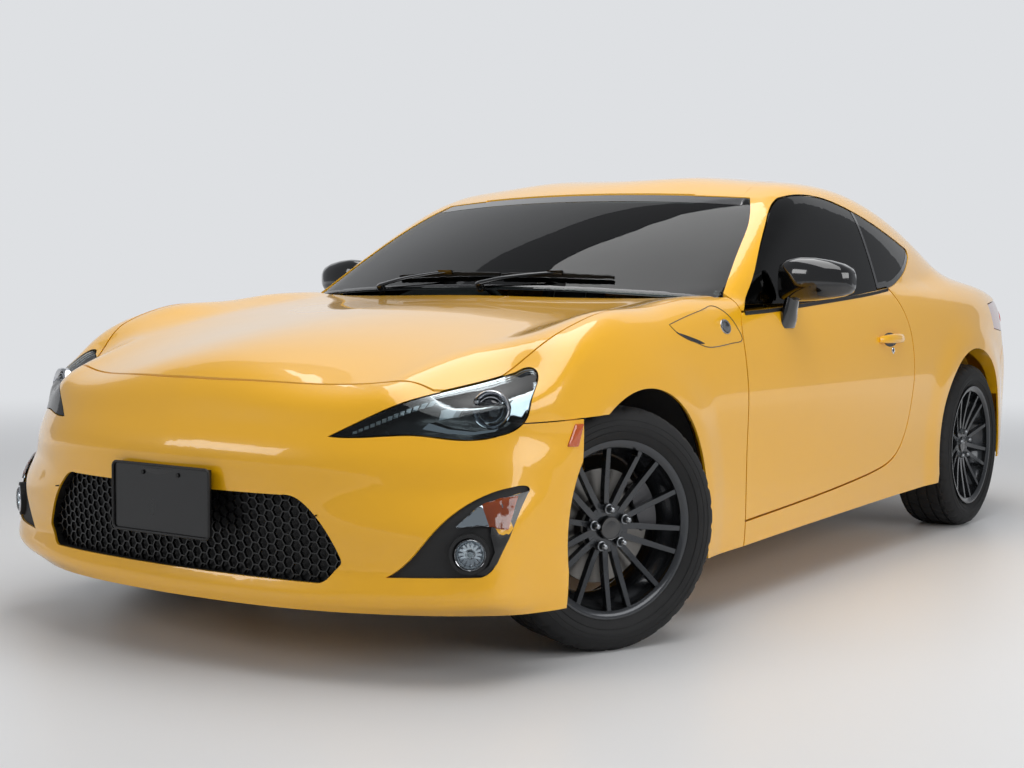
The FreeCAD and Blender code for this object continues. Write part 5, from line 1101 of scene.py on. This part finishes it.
def on_side(y, z, side=1, proud=0.0):
    """A point on the car's flank at a height and a distance along it, in millimetres."""
    hit = side_skin.ray_cast(mm(1300, y, z), Vector((-1, 0, 0)))
    place = (hit[0] or mm(840, y, z)) + (hit[1] or Vector((1, 0, 0))) * proud / 1000
    return Vector((place.x * side, place.y, place.z))


def oval_on_side(side, y, z, half_y, half_z, rings):
    """Ovals round a place on the car's flank, one for each (share of the size, lift) of the rings."""
    return [[on_side(y + half_y * r * math.cos(a), z + half_z * r * math.sin(a), side, lift)
             for a in turns(40)] for r, lift in rings]


# The grip's line as (y, how far it stands out), and the glass's lower edge as (y, z).
grip = [(352, 1), (366, 12), (388, 19), (420, 23), (456, 24), (492, 23), (524, 19), (546, 12), (560, 1)]
grip_thick = 5.5
belt = [(-628, 846), (-442, 852), (-171, 867), (192, 887), (415, 901), (572, 914)]
for side, word in flanks:
    pile = Pile()
    rows = []
    for k, (y, stand) in enumerate(grip):
        height = 15 * math.sin(math.pi * (0.12 + 0.76 * k / (len(grip) - 1))) ** 0.5
        rows.append([on_side(y, 743.5 + height * math.sin(a), side,
                             max(stand + grip_thick * math.cos(a), 0.2)) for a in turns(20)])
    pile.solid(rows)
    # A flat black oval on the skin behind the grip: painted shade standing for the recess the fingers go
    # into.
    pile.solid(oval_on_side(side, 452, 742, 62, 24, [(r, 0.6) for r in (1.0, 0.8, 0.5, 0.2)]), 1)
    lock = on_side(470, 704, side)
    pile.lathe([(0.0, 0.0115), (0.002, 0.0112), (0.0028, 0.0095), (0.002, 0.0088), (0.0024, 0.0)],
               lock, (side, 0, 0), 2, 32)
    keyhole = Matrix.Translation(lock + Vector((0.0022 * side, 0, 0)))
    pile.block(mm(-1.4, -1.2, -4.5), mm(1.6, 1.2, 4.5), 0.0004, 1, keyhole)
    pile.done(f"door_grip_{word}", f"door_{word}", [paint, enamel, chrome], "body_paint", 40)
    pile = Pile()
    line = smooth_line([on_side(y, z - 2, side, 1.0) for y, z in belt], 60)
    pile.tube(line, 0.0065, 0, 10, flat=0.45, up=(side, 0, 0))
    pile.done(f"belt_strip_{word}", f"door_{word}", [seal_black], "black_plastic", 60)

# Wing garnish: behind the front wheel a flush painted panel is let into each wing. A fine seam runs
# round it, a dark slot opens along its foot, and a plain oval plate stands where a badge would.
plate_metal = finish("plain badge plate", (176, 178, 180), 0.16, metal=1.0, uneven=0.03, grain=0.02)
seam_line = [(-1101, 820), (-996, 839), (-880, 857), (-804, 867), (-748, 846), (-706, 806), (-690, 770),
             (-760, 762), (-894, 755), (-970, 768), (-1070, 798)]
# The slot's line as (y, z, its height there).
slot = [(-1080, 799, 1), (-1058, 793, 7), (-1019, 783, 11), (-985, 776, 11), (-953, 770, 8), (-930, 766, 1)]
# The side marker's corners are pixels of the photograph, moved forward to the arch's edge.
marker = [(567, 447), (575, 424), (583.5, 423.5), (578, 447)]
marker_middle = (576, 435)
for side, word in flanks:
    pile = Pile()
    seam = [on_side(p.y * 1000, p.z * 1000, side, 0.0)
            for p in smooth_line([mm(0, y, z) for y, z in seam_line + seam_line[:1]], 90)]
    pile.tube(seam[:-1], 0.0014, 0, 6, closed=True)
    pile.net([[on_side(p.x, p.y + p.z * 0.5 * t, side, 0.8 - 0.2 * abs(t)) for t in (-1, -0.5, 0, 0.5, 1)]
              for p in smooth_line(slot, 30)])
    pile.solid(oval_on_side(side, -779, 809, 30, 21, ((1.0, 0.2), (0.97, 2.2), (0.90, 2.8), (0.84, 2.0),
                                                      (0.6, 2.6), (0.25, 3.0))), 1)
    rows = []
    for r, lift in ((1.0, 0.0002), (0.96, 0.0030), (0.85, 0.0040), (0.4, 0.0044)):
        row = []
        for k in range(4):
            for t in (0.06, 0.35, 0.65, 0.94):
                spot = between(marker[k], marker[(k + 1) % 4], t)
                place = seen_at(*between(marker_middle, spot, r), lift)
                row.append(Vector((place.x * side, place.y, place.z)))
        rows.append(row)
    pile.solid(rows, 2)
    pile.done(f"wing_trim_{word}", "chassis", [enamel, plate_metal, amber], "body_paint", 40)

# Wipers: two pressed steel arms on spindles in the cowl, enamelled black. Each holds a rubber
# blade along the screen by a spring link.
screen_skin = skin("windscreen")


def screen_foot(x, above):
    """A point on the screen and its face's way, the given millimetres above its lower edge."""
    down = Vector((0, 0, -1))
    y = -960
    while y < -300 and not screen_skin.ray_cast(mm(x, y, 1600), down)[0]:
        y += 4
    place, facing, _, _ = screen_skin.ray_cast(mm(x, y + above * 0.75, 1600), down)
    return place + facing * 0.001, facing if facing.z > 0 else -facing


blade_steps = 24
pile = Pile()
for pivot_x, start, end in ((-400, -352, 60), (20, 70, 440)):
    blade = []
    spine = []
    for k in range(blade_steps + 1):
        share = k / blade_steps
        place, normal = screen_foot(start + (end - start) * share, 76 + 6 * share)
        blade.append(place + normal * 0.004)
        spine.append(place + normal * (0.009 + 0.003 * math.sin(math.pi * share)))
    pile.net([[a + (b - a) * t + mm(0, y, z) for a, b in zip(blade, spine)] for t, y, z in (
        (-0.5, 0, 0), (0.6, -3, 0), (1.0, -5, 2), (1.15, 0, 3), (1.0, 5, 2), (0.6, 3, 0), (-0.5, 0.5, 0))], 1)
    root, normal = screen_foot(pivot_x, 10)
    root += normal * 0.004
    middle = spine[blade_steps // 2]
    arm = smooth_line([root + normal * 0.006, root.lerp(middle, 0.35) + normal * 0.012,
                       root.lerp(middle, 0.75) + normal * 0.010, middle + normal * 0.006], blade_steps)
    thick = [0.0115 - 0.006 * k / (blade_steps - 1) for k in range(blade_steps)]
    pile.tube(arm, thick, 0, 12, flat=0.5, up=normal)
    pile.lathe([(-0.02, 0.012), (0.002, 0.014), (0.008, 0.0135), (0.010, 0.010), (0.011, 0.0)],
               root, normal, 0, 28)
    pile.hull([middle + normal * h + mm(x, y, 0) for h, wide in ((-0.004, 7), (0.012, 5))
               for x in (-26, 26) for y in (-wide, wide)])
pile.done("wipers", "chassis", [enamel, rubber], "black_plastic", 40)

# Door mirrors: a wedge-shaped shell of gloss black plastic on a broad foot that is bolted to the
# door. The silvered pane stands in a rim at its rear.
mirror_black = finish("mirror shell", (7, 7, 8), 0.1, coat=1.0, uneven=0.02)
mirror_pane = finish("mirror pane", (226, 228, 230), 0.02, metal=1.0, uneven=0.01)
# Rings of the shell: x, middle y and z, half its depth, half its height, all in millimetres.
shell_rings = [(806, -352, 930, 14, 34), (815, -350, 938, 32, 54), (840, -348, 943, 46, 64),
               (880, -346, 945, 54, 67), (925, -343, 945, 56, 64), (970, -338, 944, 53, 57),
               (1005, -332, 942, 46, 48), (1026, -327, 940, 34, 37), (1034, -324, 939, 18, 24)]
shell_rear = -302
# Rings of the foot: z, middle x and y, half its depth.
foot_rings = [(797, 826, -346, 52), (822, 836, -348, 47), (850, 840, -350, 40), (876, 846, -351, 34),
              (900, 852, -350, 32)]
for side, word in flanks:
    pile = Pile()
    pile.solid([[mm(x * side, min(y + deep * squared(math.cos(a), 0.72), shell_rear),
                    z + tall * squared(math.sin(a), 0.72)) for a in turns(48)]
                for x, y, z, deep, tall in shell_rings])
    pile.solid([[mm((x + 20 * math.sin(a)) * side, y + deep * math.cos(a), z) for a in turns(32)]
                for z, x, y, deep in foot_rings])
    pane = [[mm((920 + 92 * r * squared(math.cos(a), 0.6)) * side, y,
                943 + (50 - 8 * math.cos(a)) * r * squared(math.sin(a), 0.6)) for a in turns(48)]
            for r, y in ((1.0, shell_rear + 0.4), (0.95, shell_rear + 1.6), (0.93, shell_rear - 0.2))]
    pile.net(pane, 0, closed=True)
    pile.add(pane[-1], [list(range(48))], 1)
    mirror = pile.done(f"mirror_shell_{word}", f"door_{word}", [mirror_black, mirror_pane], "gloss_black", 35)
    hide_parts(f"mirror_{word}")

# Roof: a short painted plastic fin near the rear edge that holds the aerial. It is screwed down
# over a thin rubber foot.
roof_skin = skin("roof")
fin_tall = 56
fin_steps = 8
pile = Pile()
rows = []
for h in range(fin_steps + 1):
    s = h / fin_steps
    front = 632 + 88 * s ** 0.9
    rear = 762 - 14 * s ** 2
    half = 17 * (1 - s) ** 0.55 + 1.6
    row = []
    for a in turns(28):
        y = (front + rear) / 2 + (rear - front) / 2 * math.cos(a)
        x = half * math.sin(a) * (0.55 + 0.45 * (1 + math.cos(a)) / 2)
        hit = roof_skin.ray_cast(mm(x, y, 1700), Vector((0, 0, -1)))
        base = hit[0].z * 1000 if hit[0] else 1240
        row.append(mm(x, y, base + fin_tall * s - 1))
    rows.append(row)
pile.solid(rows)
pile.tube([p + mm(0, 0, 0.5) for p in rows[0]], 0.0022, 1, 6, closed=True)
pile.done("roof_fin", "chassis", [paint, rubber], "body_paint", 35)

# Tail: chromed steel ends pushed over the exhaust pipes, and behind each red lamp cover two
# ringed light guides round a clear reversing lamp.
pile = Pile()
for side in (-1, 1):
    pipe = mm(470 * side, 2096, 262)
    pile.lathe([(-0.045, 0.0388), (0.0, 0.0394), (0.0035, 0.0388), (0.003, 0.0352), (-0.04, 0.0342)],
               pipe, (0, 1, 0), 0, 48)
    pile.lathe([(-0.038, 0.034), (-0.04, 0.0)], pipe, (0, 1, 0), 1, 32)
pile.done("pipe_ends", "chassis", [chrome, enamel], "bare_steel", 40)
lamp_skin = skin("tail_lamps")
left_lamp = [v.co for v in nodes["tail_lamps"].data.vertices if v.co.x > 0]
low = Vector([min(p[k] for p in left_lamp) for k in range(3)])
high = Vector([max(p[k] for p in left_lamp) for k in range(3)])
centre = (low + high) / 2
half = (high - low) / 2
lamp_glow = finish("lamp guide", (214, 30, 20), 0.15, coat=1.0)
lamp_clear = finish("reverse lamp", (206, 208, 210), 0.1, coat=1.0)
for side, word in flanks:
    pile = Pile()

    def on_lamp(r, a, lift):
        x = centre.x + half.x * r * math.cos(a)
        z = centre.z + half.z * r * math.sin(a)
        hit = lamp_skin.ray_cast(Vector((x * side, 3.0, z)), Vector((0, -1, 0)))
        return Vector((x * side, (hit[0].y if hit[0] else high.y) + lift, z))

    for r in (0.62, 0.36):
        ring = [on_lamp(r, a, 0.0006) for a in turns(64)]
        if all(abs(p.y - ring[0].y) < 0.16 for p in ring):
            pile.tube(ring, 0.0032, 0, 8, closed=True)
    pile.solid([[on_lamp(r, a, 0.0012) for a in turns(40)] for r in (0.2, 0.1, 0.02)], 1)
    pile.done(f"lamp_guides_{word}", "chassis", [lamp_glow, lamp_clear], "tail_red", 40)


# Floor and backdrop: one pale sheet that curves up behind the car and isn't part of it. Seen
# straight or in a mirror it glows pale away from the car; round the car it keeps the shadow.
glow_from = 2.6
glow_full = 8.5
pale = finish("pale floor", (226, 226, 226), 0.42, uneven=0.05, cloud=0.6, grain=0.05, grain_size=60)
tree = pale.node_tree
seen = add_node(tree, "LightPath")
both = add_node(tree, "Math")
both.operation = "MAXIMUM"
tree.links.new(seen.outputs["Is Camera Ray"], both.inputs[0])
tree.links.new(seen.outputs["Is Glossy Ray"], both.inputs[1])
spot = add_node(tree, "TexCoord")
far = add_node(tree, "VectorMath")
far.operation = "LENGTH"
tree.links.new(spot.outputs["Object"], far.inputs[0])
outer = add_node(tree, "MapRange", From_Min=glow_from, From_Max=glow_full)
outer.interpolation_type = "SMOOTHSTEP"
tree.links.new(far.outputs["Value"], outer.inputs["Value"])
share = add_node(tree, "Math")
share.operation = "MULTIPLY"
tree.links.new(both.outputs["Value"], share.inputs[0])
tree.links.new(outer.outputs["Result"], share.inputs[1])
glow = add_node(tree, "Emission", Color=light_values((222, 224, 227)))
blend = add_node(tree, "MixShader")
tree.links.new(share.outputs["Value"], blend.inputs[0])
tree.links.new(tree.nodes["Principled BSDF"].outputs["BSDF"], blend.inputs[1])
tree.links.new(glow.outputs["Emission"], blend.inputs[2])
tree.links.new(blend.outputs["Shader"], tree.nodes["Material Output"].inputs["Surface"])
reach = 14
curve_start = 9
curve_round = 4
rows = []
for x in (-reach, reach):
    row = [Vector((x, -reach, 0)), Vector((x, curve_start, 0))]
    for a in range(10, 91, 10):
        row.append(Vector((x, curve_start + curve_round * math.sin(math.radians(a)),
                           curve_round - curve_round * math.cos(math.radians(a)))))
    row.append(Vector((x, curve_start + curve_round, reach)))
    rows.append(row)
mesh = bpy.data.meshes.new("backdrop")
wide = len(rows[0])
mesh.from_pydata(rows[0] + rows[1], [], [[j, j + 1, wide + j + 1, wide + j] for j in range(wide - 1)])
mesh.materials.append(pale)
mesh.polygons.foreach_set("use_smooth", [True] * len(mesh.polygons))
backdrop = bpy.data.objects.new("backdrop", mesh)
backdrop.matrix_world = Matrix.Rotation(math.radians(34.5), 4, "Z")
bpy.context.scene.collection.objects.link(backdrop)

# Light: a wide soft panel above the car, a broad one at its left and a weak one in front, in a
# room of pale grey.
scene = bpy.context.scene
world = bpy.data.worlds.new("studio")
scene.world = world
world.use_nodes = True
world.node_tree.nodes["Background"].inputs["Color"].default_value = light_values((214, 217, 222))
world.node_tree.nodes["Background"].inputs["Strength"].default_value = 0.42


def panel(name, place, target, wide, tall, watts):
    """A soft panel of light, aimed at a point."""
    lamp = bpy.data.lights.new(name, "AREA")
    lamp.shape = "RECTANGLE"
    lamp.size = wide
    lamp.size_y = tall
    lamp.energy = watts
    holder = bpy.data.objects.new(name, lamp)
    holder.location = place
    holder.rotation_euler = (Vector(target) - Vector(place)).to_track_quat("-Z", "Y").to_euler()
    scene.collection.objects.link(holder)


panel("top", (0.4, -0.4, 4.6), (0, 0, 0), 3.2, 6.5, 170)
panel("left", (6.0, -1.0, 2.4), (0.5, 0, 0.6), 4.0, 2.2, 95)
panel("front", (-2.6, -6.5, 2.8), (0, -1.5, 0.5), 3.0, 1.6, 60)

# Camera: at the photograph's place and angle, with everything sharp. The shift puts the middle of
# the photograph's view back where it was cut.
photo_wide = 1024
photo_tall = 768
camera = bpy.data.cameras.new("camera")
camera.sensor_width = 36.0
camera.lens = 55.256
camera.shift_x = (photo_wide / 2 - photo_middle[0]) / photo_wide
camera.shift_y = (photo_middle[1] - photo_tall / 2) / photo_wide
camera.clip_end = 100
eye = bpy.data.objects.new("camera", camera)
eye.matrix_world = Matrix((
    (photo_right.x, photo_up.x, -photo_forward.x, photo_eye.x),
    (photo_right.y, photo_up.y, -photo_forward.y, photo_eye.y),
    (photo_right.z, photo_up.z, -photo_forward.z, photo_eye.z),
    (0, 0, 0, 1)))
scene.collection.objects.link(eye)
scene.camera = eye
scene.view_settings.view_transform = "Standard"
